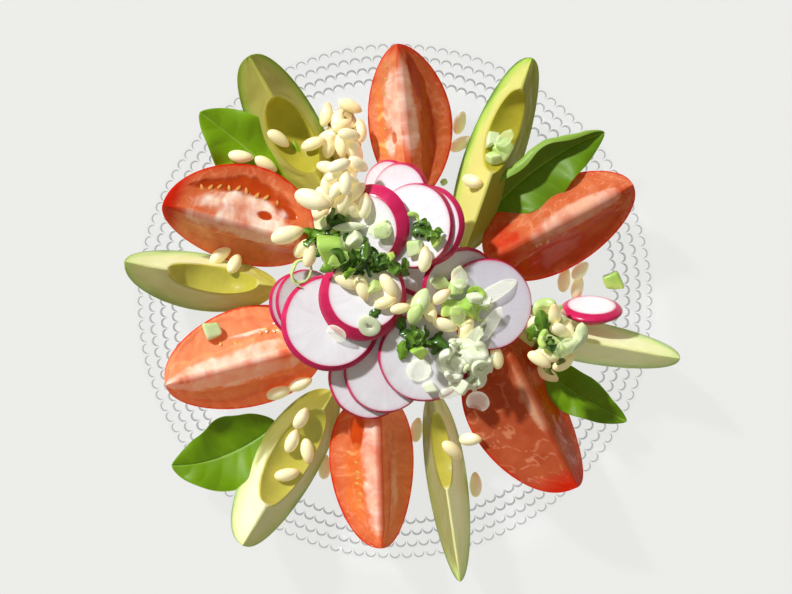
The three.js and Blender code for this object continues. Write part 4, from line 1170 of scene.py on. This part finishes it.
# %% The slice's surface
def slice_part(slice_, seed, columns=120):
    """A disc turned about its own axis: underside, skin, upper face. Up the skin the radius is the
    rim's less the bevel times the height's power. Rows crowd at the face's edge, so that the line
    between skin and flesh is crisp. Rays are faint lines from the middle outwards."""
    rim, thick, bevel = slice_["radius"], slice_["thick"], slice_["bevel"]
    inward = np.array([0.0, 0.1, 0.3, 0.6, 1.0, 1.8, 3.5, 7.0, 11.0])
    side = np.linspace(0, 1, 9)
    under, over = rim - inward[::-1], rim - bevel - 0.12 - inward
    out = np.concatenate([[0.0], under, (rim - bevel * side ** 1.6)[1:], over, [0.0]])
    up = np.concatenate([np.zeros(len(under) + 1), side[1:], np.ones(len(over) + 1)])
    is_skin = np.concatenate([np.zeros(len(under)), [1.0], np.ones(8), np.zeros(len(over) + 1)])
    out, up = np.maximum(out, 0)[:, None], up[:, None]
    turn = circle(columns)
    ragged = 1 + 0.012 * noise(np.cos(turn) * 2.5, np.sin(turn) * 2.5, seed) * (out > 0)
    x = out * ragged * np.cos(turn) + up * slice_["shift"][0]
    y = out * ragged * np.sin(turn) + up * slice_["shift"][1]
    dimple = 0.12 * noise(x / 6, y / 6, seed + 2)
    z = (up - 0.5) * thick + dimple * (up > 0.99) * ramp(rim - bevel - out, 0, 4)
    to_rim = rim - np.where(up > 0.5, bevel, 0) - out
    blush = np.exp(-np.maximum(0, to_rim) / 0.45) + 0.1 * np.exp(-np.maximum(0, to_rim) / 3)
    rays = noise(turn * 14, out / 9 + seed, seed) * ramp(out, 2, 6)
    disc = part(np.stack([x, y, z], -1), skin=is_skin[:, None], blush=blush, rays=np.clip(rays, 0, 1))
    return toned(disc, frost=slice_["frost"])


def turned_up(normal):
    """Axes whose Z is a normal, turned from upright the shortest way."""
    turn = Vector((0, 0, 1)).rotation_difference(Vector(normal)).to_matrix()
    return np.array(turn).T


# %% Radish finish
radish = Finish(
    "radish", mottle=(130, 1500), wet=(140, 0.16, 0.4), relief=(0.2, 0.0003),
    Subsurface_Weight=0.15, Subsurface_Radius=(1.0, 0.9, 0.9), Subsurface_Scale=0.001, IOR=1.36,
    Coat_Weight=0.25, Coat_Roughness=0.12)
radish.feed(Base_Color=radish.layered(
    radish.blotched("ebe8ed", "f9f8fb"),
    (("rays", 0.25), "d9ccd6"),
    (("frost", 0.5), "d6cfe4"),
    (radish.mask("blush", 0.75, clamp=True), "c81f5c"),
    ("skin", radish.blotched("ac0c3a", "e42a6c"))))

# %% The pile under the slices, and the slices on it
PILE_STACKS = 3
PILE_OUT = 13                     # from the plate's middle to each stack's
PILE_RADIUS = 15.5
PILE_HEIGHT = 22
PILE_SLICES = 8

pitch = PILE_HEIGHT / PILE_SLICES
pile_slice = {**SLICE, "radius": PILE_RADIUS - 0.2, "thick": pitch - 0.15, "bevel": 0.4}
stack = []
for turn in np.arange(PILE_STACKS) / PILE_STACKS * 2 * np.pi:
    for level in range(PILE_SLICES):
        middle = np.array([PILE_OUT * np.cos(turn), PILE_OUT * np.sin(turn),
                           PLATE_THICK + GAP + pitch * (level + 0.5)])
        jitter = np.array([*rng.uniform(-0.3, 0.3, 2), 0])
        disc = placed(slice_part(pile_slice, level, 64), middle + jitter, np.eye(3))
        stack.append(disc)
        lay(disc)
show("radish_stack", stack, radish, ["radish_pile"])

for number, numbers in SLICES.items():
    slice_ = {**SLICE, **numbers}
    normal, distance = underside(f"radish_slice_{number}")
    flat = slice_["x"] * normal[0] + slice_["y"] * normal[1]
    z = (distance + slice_["thick"] / 2 - flat) / normal[2]
    shape = placed(slice_part(slice_, float(number)), np.array([slice_["x"], slice_["y"], z]),
                   turned_up(normal))
    show(f"radish_{number}", [shape], radish, [f"radish_slice_{number}"])
    lay(shape)

# %% [markdown]
# ### The end cut
# At the right a thick end cut stands on the plate, its white face up and away and its round skin
# towards the eater.

# %% End cut
END_CUT = dict(x=91, y=-5.5, radius=14.5, thick=8, face=11.5)
END_STAND = np.radians(68)


def end_cut_part():
    """A cut root end: a flat white face, and a skin that swells from its rim and rounds off at
    the back like half an ellipse."""
    face, rim = END_CUT["face"], END_CUT["radius"]
    inward = np.array([face, 7, 4, 2, 1.2, 0.6, 0.3, 0.12])
    back = np.linspace(0, 1, 26)
    swell = face + (rim - face) * np.sin(np.pi * np.minimum(1, back * 1.6))
    out = np.concatenate([face - inward, swell * np.sqrt(1 - back ** 4)])[:, None]
    up = np.concatenate([np.full(len(inward), 0.5), 0.5 - back])[:, None] * END_CUT["thick"]
    is_skin = np.concatenate([np.zeros(len(inward)), np.ones(len(back))])[:, None]
    return turned(out, up, circle(96), skin=is_skin, blush=1.6 * np.exp(-np.maximum(0, face - out) / 0.7))


low, high = (np.array(corner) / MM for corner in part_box("radish_end_cut"))
end_normal = np.array([0, np.sin(END_STAND), np.cos(END_STAND)])
end_cut = placed(end_cut_part(), np.array([END_CUT["x"], END_CUT["y"], (low[2] + high[2]) / 2]),
                 turned_up(end_normal))
show("radish_end", [end_cut], radish, ["radish_end_cut"])
lay(end_cut)

# %% [markdown]
# ## Small things on top
# Pine nuts are smooth drops, about 12 mm long, ivory with a tan point. Spring onion comes as short
# blocks of green stem, curls and rings from the bulb end, and clear films that peeled off. Basil is
# shredded into frilled strips. Each kind is one shape with its own spread of sizes, laid piece by
# piece on what is already there, and all pieces of a kind are one object.

# %% Shapes of nuts and onion
NUT_LENGTH = 12
NUT_RADIUS = 3.1
SINK = 0.9                        # how far a piece settles into what it lies on


def squared(values, power=0.5):
    """Bends a circle's sine or cosine towards a square's."""
    return np.sign(values) * np.abs(values) ** power


def nut_shape(size):
    """A pine nut: a drop, blunt at both ends and a little bent."""
    nut = egg(NUT_LENGTH * size, 2 * NUT_RADIUS * size, 1.9 * NUT_RADIUS * size, 15, 12, 0.86, 0.52)
    x = nut["points"][:, 0]
    nut["points"][:, 1] += 0.012 * x ** 2 * rng.uniform(-1, 1)
    return nut


def block_shape(size):
    """A short piece of stem: a box with rounded corners, sheared, dented on top. Its green mask
    is how near a point is to the side that was the stem's skin."""
    u = np.linspace(-np.pi / 2, np.pi / 2, 13)[:, None]
    turn = circle(18)
    half_x, half_y, half_z = size * np.array([3.0, 2.7, 2.3]) * rng.uniform(0.85, 1.15, 3)
    x = half_x * squared(np.sin(u), 0.3) + 0 * turn
    y = half_y * squared(np.cos(u), 0.35) * squared(np.cos(turn), 0.42)
    z = half_z * squared(np.cos(u), 0.35) * squared(np.sin(turn), 0.42)
    dent = 0.4 * size * bump(x / half_x, 0.1, 0.8) * bump(y / half_y, -0.1, 0.8) * (z > 0)
    rough = 0.25 * size * noise(x / 2 + 9 * size, (y + z) / 2, size)
    y = y * (1 + rng.uniform(-0.3, 0.3) * x / half_x)
    z = z * (1 + rng.uniform(-0.25, 0.25) * x / half_x)
    x = x + rng.uniform(-0.5, 0.5) * y
    return part(np.stack([x, y + rough, z - dent + rough], -1), green=ramp(y / half_y, -0.2, 1.0))


# %% Shapes of curls and rings
def curl_shape(size, sweep=150, radius=3.6, wall=2.7, height=3.0):
    """Part of a ring of onion: a rounded section carried along an arc, closed at both ends."""
    share = np.linspace(-1, 1, 22)[:, None]
    turn = np.radians(sweep) / 2 * share
    round_ = circle(12)
    taper = size * np.sqrt(1 - share ** 6)
    out = size * radius + wall / 2 * squared(np.cos(round_), 0.7) * taper
    up = height / 2 * squared(np.sin(round_), 0.7) * taper * (1 + 0.25 * np.sin(3 * turn))
    x, y = out * np.cos(turn) - 0.7 * size * radius, out * np.sin(turn)
    return part(np.stack([x, y, up], -1), green=(squared(np.cos(round_), 0.7) + 1) / 2)


def ring_shape(size, wall=1.5, height=2.6):
    """A ring cut from a stem: a rounded square section carried round an uneven circle."""
    turn = circle(36)
    round_ = circle(12).T
    radius = 5 * size * (1 + 0.06 * np.cos(2 * turn + 1) + 0.03 * np.cos(3 * turn))
    out = radius - wall / 2 + wall / 2 * squared(np.cos(round_))
    up = height / 2 * squared(np.sin(round_))
    return turned(out, up, turn, ends="join", green=(squared(np.cos(round_)) + 1) / 2)


def tendril_shape(size, tube=0.65, turns=1.7):
    """A thin curl of stem: a tube that winds round and runs off in a tail."""
    u = np.linspace(0, 1, 84)[:, None]
    round_ = circle(8)
    turn = 2 * np.pi * turns * u
    taper = tube * np.minimum(1, 12 * np.sqrt(u * (1 - u)) / 3)
    away = size * (5.2 - 0.7 * u + 22 * np.maximum(0, u - 0.85) + 0.5 * np.sin(2 * turn))
    out = away + taper * np.cos(round_)
    up = 1.5 * turns * u + 0.4 * np.sin(3 * turn) + taper * np.sin(round_)
    return turned(out, up, turn, green=0.5)


# %% Shapes of thin things


def two_faces(steps):
    """Places from edge to edge over the top of a thin thing and back beneath it, and 1 or -1 for
    the face that each is on."""
    across = np.linspace(-1, 1, steps)
    return np.concatenate([across, across[::-1]])[None, :], np.repeat([1.0, -1.0], steps)[None, :]


def sheet_shape(length, width, thick=0.4, bend=0.15, frill=0.3):
    """A thin oval sheet: it arches across, waves along, and its edge is frilled."""
    u = eased(22)
    v, upper = two_faces(9)
    wide = width * np.sqrt(u * (1 - u))
    start = rng.uniform(0, 6)
    x = (u - 0.5) * length + 0.2 * frill * width * np.sin(7 * u + start) * v
    y = wide * v * (1 - 0.1 * np.abs(v))
    z = bend * width * (1 - v ** 2) + 0.07 * length * np.sin(4 * u + start)
    z = z + frill * v ** 2 * np.sin(17 * u + start + 2 * v)
    z = z + upper * thick / 2 * (1 - v ** 6) * np.minimum(1, 2 * wide)
    edge = np.maximum(np.abs(v), np.abs(2 * u - 1)) ** 2
    return part(np.stack([x, y, z], -1), edge=edge, vein=bump(v, 0, 0.25))


def shred_shape(size, width=5.6, thick=0.45):
    """A strip of leaf: it arches along its length, rolls up across it, twists and is frilled."""
    length = 14 * size
    u = np.linspace(0, 1, 34)[:, None]
    v, upper = two_faces(8)
    wide = width / 2 * size ** 0.5 * np.sin(np.pi * u ** 0.9) ** 0.4
    roll = np.radians(rng.uniform(35, 75)) * v
    start = rng.uniform(0, 6)
    y = wide * np.sin(roll)
    z = 0.1 * length * np.sin(np.pi * u) + 0.6 * wide * (1 - np.cos(roll))
    z = z + 0.4 * np.sin(11 * u + start + 1.5 * v) * np.abs(v) + upper * thick / 2 * np.minimum(1, wide)
    y = y + 0.9 * np.sin(6 * u + start)
    twist = rng.uniform(-1, 1) * (u - 0.5)
    y, z = y * np.cos(twist) - z * np.sin(twist), y * np.sin(twist) + z * np.cos(twist)
    x = np.broadcast_to((u - 0.5) * length, y.shape)
    return part(np.stack([x, y, z], -1), vein=bump(v, 0, 0.2))


# %% [markdown]
# ### What lies where
# Each line is a kind, its place, its bearing, its size and a tone from 0 to 1: onion goes from
# white to lime, basil from dark to bright. The order is from the bottom up, as for a hand that
# scatters them. A heap also names the chopped bits that fill it, which a seeded draw places.

# %% The toppings
ON_THE_PLATE = [
    ("nut", 29, 84, 60), ("nut", 31, 74, 30), ("nut", 79.5, 10, 80), ("nut", 84.5, 6.5, 70),
    ("nut", 87, 13, 60), ("nut", -31.5, -78, 80), ("nut", 36.5, -86.5, 85), ("nut", 35.5, -62, 20),
    ("nut", 11.5, -60.5, 75), ("block", 102.5, 9.5, 10, 1.3, 0.85), ("block", 22.5, 56, 30, 0.5, 0.7),
]
ON_THE_WEDGES = [
    ("nut", -49, 30, 17, 1.3), ("nut", -42, 25.5, 60), ("block", -84, -14.5, 20, 1.3, 0.4),
    ("nut", -54, -41.5, 20), ("nut", -44, -37, 30), ("disc", 38, -46, 0, 1.2, 0.0),
    ("nut", -54.5, 75, -30), ("nut", -37, 72, 15), ("nut", -81.5, 21, 40), ("nut", -74.5, 16, 70),
    ("nut", -50, -81, 15), ("nut", -48, -64, 70), ("nut", -40, -69.5, -80), ("nut", -42.5, -53, 60),
    ("nut", 25.5, -69, -35), ("nut", 37, 54.5, -20), ("block", 44.5, 74.5, 10, 1, 0.3),
    ("block", 50, 69, 50, 1.4, 0.7), ("block", 45, 65, 30, 1, 0.6), ("film", 50, 74, 60, 1.0, 0.6),
    ("nut", -71.5, 65.5, -10), ("nut", -61, 62.5, -20), ("nut", -25.5, 66, 80, 0.9),
]
ON_THE_SLICES = [
    ("tendril", -44, 12.5, 20, 1, 0.5), ("disc", -26, -14, 10, 1.1, 0.1),
    ("curl", 8.5, 38, 60, 0.9, 0.8), ("tuft", 11.5, 33.5, 60, 0.9, 0.2), ("block", 9.5, 24, 10, 1.1, 0.4),
    ("nut", 14.5, 19, 80), ("block", 19, 27, 30, 0.8, 0.9), ("curl", 16.5, 30, 200, 0.8, 0.8),
    ("tuft", 17, 31, 0, 0.7, 0.4),
    ("block", 19.5, 9, 20, 1.2, 0.35), ("block", 27, 6.5, 80, 1.3, 0.45), ("film", 29, 10, 80, 1.1, 0.4),
    ("block", 25, -3, 0, 1.5, 0.8), ("block", 32, -2.5, 30, 1.5, 1.0), ("curl", 36.5, 4.6, 80, 1, 1.0),
    ("block", 35.5, 0.5, 10, 0.9, 0.1), ("ring", 39, -5.5, 0, 0.8, 0.6), ("block", 42, -1, 50, 0.7, 0.0),
    ("strip", 44, 3, 36, 1, 0.1), ("strip", 41, -13, 58, 0.95, 0.1), ("film", 28, -6, 100, 1, 0.7),
    ("leaf", 2.5, -9.5, -50, 1.1, 0.15), ("tuft", 5, -16, 5, 1.3, 0.1), ("leaf", 3.5, -22, 80, 1.1, 0.6),
    ("block", 10.5, -22, 30, 1, 0.9), ("tuft", 18, -18.5, 30, 1.1, 0.1), ("tuft", 11, -16, 0, 1, 0.15),
    ("nut", 9, -1, 30), ("nut", 15.5, -6, 100), ("bulb", 13, -1.5, 75, 0.9, 0.35),
    ("bulb", 9.6, -5, 60, 0.7, 0.6), ("nut", 22, 1.5, 20, 0.9), ("leaf", -9, -5.5, 30, 0.8, 0.1),
    ("disc", 10.8, -31, 0, 1.25, 0.1), ("block", 16, -39, 20, 1, 0.1), ("block", -5, 32, 10, 1.2, 0.5),
    ("coin", -11.5, -11, 0, 1, 0.15), ("nut", -14.5, 6, -70), ("nut", -2.5, 7, -60),
    ("block", -9.5, 6.5, 0, 1, 0.6), ("nut", -21.5, 9, -30), ("nut", -4, -0.5, 20, 0.9),
    ("nut", 2, -3, 10, 0.8), ("film", 24.8, -41.4, 30, 0.9, 0.2),
]
print(f"{len(ON_THE_PLATE + ON_THE_WEDGES + ON_THE_SLICES)} loose toppings")

# %% The heaps and what lies in them
CHOPPED = [
    ("block", 0.55, 0.9), ("block", 0.6, 0.3), ("leaf", 0.6, 0.5), ("leaf", 0.7, 0.1),
    ("shred", 0.5, 0.2)]
# A heap's core colours are its pieces' colours, partly darkened as painted shade for the gaps.
HEAPS = {
    # Nuts with tone 0.9 or 1 are whiter: painted light for the nuts of this heap that lie in full light.
    "nut_heap": dict(
        slot="nuts", core=("c8a860", "ecd8a4"),
        mounds=[(-24, 70, 6, 12, 24, 16), (-25, 49, 22, 11, 12, 15)],
        fill=[([("nut", 0.95, 0.6)], 12, -24, 66, 8, 18), ([("nut", 0.95, 0.9)], 5, -26, 47, 8, 8)],
        toppings=[("nut", -30.5, 86.5, 80), ("nut", -21.5, 89.5, -20), ("nut", -25, 79.5, 40),
                  ("nut", -17.5, 78.5, 80), ("nut", -29, 72, 60), ("nut", -22, 75, 10),
                  ("nut", -20.5, 69, -60, 1, 0.9), ("nut", -18, 62, -20, 1, 0.9), ("nut", -25, 59, 40, 1, 1),
                  ("nut", -23.5, 53, 85, 1, 1), ("nut", -16.5, 49, 30, 1, 1), ("nut", -12.5, 43, 80, 1, 1),
                  ("nut", -19.5, 42.5, -50, 1, 1), ("nut", -33.5, 41.5, 32), ("nut", -35, 47, -5, 1.5, 1),
                  ("nut", -24.5, 45.5, 80, 1.2, 1)]),
    "herb_heap": dict(
        slot="greens", mounds=[(-24, 24, 30, 14, 13, 12)], core=("1c3a0c", "5c8a1e"),
        fill=[(CHOPPED, 34, -24, 25, 13, 11), (CHOPPED, 12, -10, 18, 9, 5)],
        toppings=[("block", -32, 34, 20, 1.1, 0.35), ("film", -6.5, 32, 20, 1.1, 0.5),
                  ("tuft", -26, 35.5, 40, 1, 0.2), ("tuft", -38, 29, 80, 0.9, 0.3),
                  ("block", -27.5, 23, 0, 2.1, 0.9), ("film", -25, 19, 20, 0.9, 0.9),
                  ("spindle", -20.5, 33.5, 5, 1, 0.1), ("block", -18, 27, 30, 1.5, 0.2),
                  ("nut", -37, 21, 60), ("tuft", -21, 18, 15, 1.2, 0.1),
                  ("tuft", -14, 17.5, -20, 1.2, 0.1), ("leaf", -20, 12.5, 60, 0.8, 0.9),
                  ("tuft", -7, 18, 20, 1, 0.1), ("tuft", 1, 14.5, -35, 1, 0.25),
                  ("leaf", -13, 22, 80, 1.1, 0.2), ("leaf", -30, 15, 20, 0.9, 0.6)]),
    "onion_heap": dict(
        slot="greens", mounds=[(33, -27, 30, 12, 13, 13)], core=("9cae6c", "e4e8c8"),
        fill=[([("curl", 0.8, 0.05), ("block", 0.9, 0.05), ("curl", 0.7, 0.2)], 22, 32, -28, 11, 11)],
        toppings=[("curl", 30, -20.5, 100, 1.5, 0.05), ("curl", 22.5, -27, 200, 1.6, 0.0),
                  ("block", 34, -26, 10, 1.4, 0.05), ("ring", 38, -29.5, 0, 0.9, 0.1), ("nut", 45, -26, 85),
                  ("curl", 36.5, -36, 300, 1.4, 0.0), ("block", 30.5, -38.5, 40, 1.1, 0.05),
                  ("curl", 26, -33, 260, 1.2, 0.0), ("block", 29, -29, 60, 1.3, 0.0),
                  ("curl", 38, -22, 40, 1.2, 0.1),
                  ("nut", 22.5, -9.5, -25), ("nut", 30.5, -12, 50), ("film", 35, -17, 70, 1.2, 0.3)]),
    "side_heap": dict(
        slot="greens", mounds=[(71, -16, 16, 10, 16, 22)], core=("4a5c1c", "9aa84c"),
        fill=[([("leaf", 0.9, 0.4), ("film", 0.8, 0.6), ("nut", 0.9, 0.5), ("curl", 0.8, 0.6)],
               20, 71, -15, 8, 14)],
        toppings=[("curl", 68, -3, 120, 1.6, 0.6), ("nut", 73, -4.5, 85), ("nut", 73.5, -13, -15),
                  ("leaf", 63, -14, 60, 1.2, 0.5), ("leaf", 66, -9, 100, 1.2, 0.4),
                  ("nut", 65.5, -25.5, -30), ("nut", 76.5, -27.5, 20), ("nut", 72, -33, -15),
                  ("ring", 70.5, -20, 0, 1, 0.6), ("tuft", 70, -20, 30, 0.7, 0.1),
                  ("curl", 81, -16.5, -40, 1.9, 0.25),
                  ("film", 76, -21, 30, 1.2, 0.6), ("curl", 67, -17, 170, 1.1, 0.8)]),
}

# %% Laying one topping
scattered = {"nut": [], "onion": [], "basil": [], "film": []}


def rounded(length, width, thick, rows, columns, blunt, green):
    """A smooth bit of the bulb."""
    return toned(egg(length, width, thick, rows, columns, 0.9, blunt), green=green)


SHAPES = {                        # family, shape for a size, and how high its middle lies
    "nut": ("nut", nut_shape, NUT_RADIUS),
    "bulb": ("onion", lambda k: rounded(15.5 * k, 10 * k, 8 * k, 18, 16, 0.6, 0.4), 4.0),
    "spindle": ("onion", lambda k: rounded(16 * k, 4.5 * k, 3.5 * k, 16, 12, 0.8, 0.2), 1.8),
    "block": ("onion", block_shape, 2.2),
    "curl": ("onion", lambda k: curl_shape(k, rng.uniform(110, 210)), 1.3),
    "ring": ("onion", ring_shape, 1.3),
    "coin": ("onion", lambda k: ring_shape(k, 3.9, 2.2), 1.3),
    "tendril": ("onion", tendril_shape, 4.0),
    "shred": ("basil", shred_shape, 0.8),
    "leaf": ("basil", lambda k: sheet_shape(8.5 * k, 6 * k, 0.45, 0.2, 0.5), 0.8),
    "film": ("film", lambda k: sheet_shape(11 * k, 8 * k), 1.3),
    "disc": ("film", lambda k: sheet_shape(9 * k, 9 * k, 0.5, 0.03, 0.05), 1.5),
    "strip": ("film", lambda k: sheet_shape(26 * k, 8 * k, 0.7, 0.02, 0.1), 2.0),
}


# %% How a topping is laid
def lay_topping(kind, x, y, bearing, size=1.0, tone=0.5):
    """Makes a topping, lets it come to rest at its place and remembers it as ground. A tuft is a
    few shreds thrown down together."""
    if kind == "tuft":
        for turn in (0, 50, -40, 95):
            dx, dy = rng.uniform(-3, 3, 2) * size
            lay_topping("shred", x + dx, y + dy, bearing + turn + rng.uniform(-20, 20),
                        size * rng.uniform(0.45, 0.75), np.clip(tone + rng.uniform(-0.2, 0.3), 0, 1))
        return
    family, make, lift = SHAPES[kind]
    if kind == "nut":
        tone = np.clip(tone + rng.uniform(-0.3, 0.3), 0, 1)
    shape = toned(make(size), tone=tone)
    tilt = 25 if kind in ("nut", "block") else 10
    lift = lift * size - SINK * min(1, size)
    origin, axes = resting_frame(x, y, bearing, lift, roll=rng.uniform(-tilt, tilt))
    shape = placed(shape, origin, axes)
    scattered[family].append(shape)
    lay(shape)


def scatter(kinds, count, x, y, half_x, half_y):
    """Lays pieces of the given kinds at random over an oval."""
    for _ in range(count):
        kind, size, tone = kinds[rng.integers(len(kinds))]
        out, turn = np.sqrt(rng.uniform()), rng.uniform(0, 2 * np.pi)
        lay_topping(kind, x + half_x * out * np.cos(turn), y + half_y * out * np.sin(turn),
                    rng.uniform(0, 360), size * rng.uniform(0.85, 1.15), tone)


# %% Mounds and cores of the heaps


def mound(x, y, z, half_x, half_y, half_z):
    """A low hill under a heap: an ellipsoid."""
    ball = egg(2 * half_z, 2 * half_x, 2 * half_y, 14, 20, 1.0, 1.0)
    points = ball["points"][:, [1, 2, 0]] + [x, y, z]
    return {**ball, "points": points}


def heap_core(name, colours, shrink=1.6):
    """The heap's own core: the frame's plain heap, merged, and drawn in along its normals, so
    that the real pieces lie over it. Its colours are those of the pieces seen between them, partly
    darkened as painted shade for the gaps between the pieces."""
    bm = bmesh.new()
    bm.from_mesh(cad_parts[name].data)
    bmesh.ops.remove_doubles(bm, verts=bm.verts, dist=1e-6)
    bmesh.ops.smooth_vert(bm, verts=bm.verts, factor=0.5, use_axis_x=True, use_axis_y=True, use_axis_z=True)
    bm.normal_update()
    for vertex in bm.verts:
        vertex.co -= vertex.normal * shrink * MM
    mesh = bpy.data.meshes.new(f"{name}_core")
    bm.to_mesh(mesh)
    bm.free()
    mesh.shade_smooth()
    look = Finish(f"{name}_core", mottle=(350, 1500), Roughness=0.45, Coat_Weight=0.3)
    look.feed(Base_Color=look.blotched(*colours))
    look.bumped(look.blotch, 0.6, 0.001)
    mesh.materials.append(look.material)
    piece = bpy.data.objects.new(f"{name}_core", mesh)
    bpy.context.scene.collection.objects.link(piece)
    return piece


# %% Finishes of the small things
# The nuts glow a little cream (Emission): painted light that lifts their shaded sides.
nuts = Finish(
    "pine_nut", mottle=(180, 1500), relief=(0.15, 0.0002), Subsurface_Weight=0.2,
    Subsurface_Radius=(1.0, 0.85, 0.4), Subsurface_Scale=0.002, Roughness=0.32, IOR=1.45,
    Coat_Weight=0.2, Coat_Roughness=0.2, Emission_Strength=0.2, Emission_Color="f4e2a0")
point = nuts.mask("along", 0.7 / 0.3, -0.49 / 0.3, clamp=True)
nuts.feed(Base_Color=nuts.layered(
    "f6eab2", ("tone", "fdfae0"), (point, "b9812f"),
    (nuts.calculate("MULTIPLY", nuts.blotch, 0.3), "ead28a")))

# The onion glows a little in its own colour (Emission): painted light for light shining through it.
onion = Finish(
    "spring_onion", mottle=(220, 1400), wet=(260, 0.12, 0.35), relief=(0.25, 0.0003),
    Subsurface_Weight=0.4, Subsurface_Radius=(0.9, 1.0, 0.5), Subsurface_Scale=0.003, IOR=1.36,
    Coat_Weight=0.5, Coat_Roughness=0.06, Emission_Strength=0.06)
deep = onion.calculate("MULTIPLY", onion.mask("green", 0.9), onion.mask("tone"))
stem = onion.layered(
    "e6e9d6", ("tone", "bade1c"), (deep, "88c00a"),
    (onion.calculate("MULTIPLY", onion.blotch, 0.35), "e6ecc0"))
onion.feed(Base_Color=stem, Emission_Color=stem)

shreds = Finish(
    "shredded_basil", mottle=(260, 1600), wet=(300, 0.18, 0.4), relief=(0.5, 0.0005),
    Subsurface_Weight=0.15, Subsurface_Radius=(0.3, 1.0, 0.1), Subsurface_Scale=0.001, IOR=1.42,
    Coat_Weight=0.4, Coat_Roughness=0.15)
shreds.feed(Base_Color=shreds.layered(
    shreds.blotched("0b2804", "30620e"),
    ("tone", shreds.blotched("5a9a18", "a6cc3a")),
    (("vein", 0.3), "8fbf4a")))

# The films glow (Emission): painted light that keeps them as bright as the table behind them.
films = Finish("onion_film", mottle=(220, 1400), Roughness=0.12, IOR=1.36, Coat_Weight=0.6,
               Coat_Roughness=0.05, Emission_Strength=0.3)
clear = films.layered("fafaf2", ("tone", "c0e050"),
                      (films.calculate("MULTIPLY", films.blotch, 0.3), "eef4cc"))
edge = films.mask("edge")
edge = films.calculate("MULTIPLY", edge, edge)
films.feed(Base_Color=clear, Emission_Color=clear,
           Alpha=films.calculate("MULTIPLY_ADD", edge, 0.36, 0.22))

# %% Lay them all
for topping in ON_THE_WEDGES + ON_THE_SLICES:
    lay_topping(*topping)
for name, heap in HEAPS.items():
    for numbers in heap["mounds"]:
        lay(mound(*numbers))
    for filling in heap["fill"]:
        scatter(*filling)
    for topping in heap["toppings"]:
        lay_topping(*topping)
    core = heap_core(name, heap["core"])
    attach(core, "root")
    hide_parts(name)
for topping in ON_THE_PLATE:
    lay_topping(*topping)

show("pine_nuts", scattered["nut"], nuts)
show("onion_pieces", scattered["onion"], onion)
show("basil_shreds", scattered["basil"], shreds)
show("onion_films", scattered["film"], films)
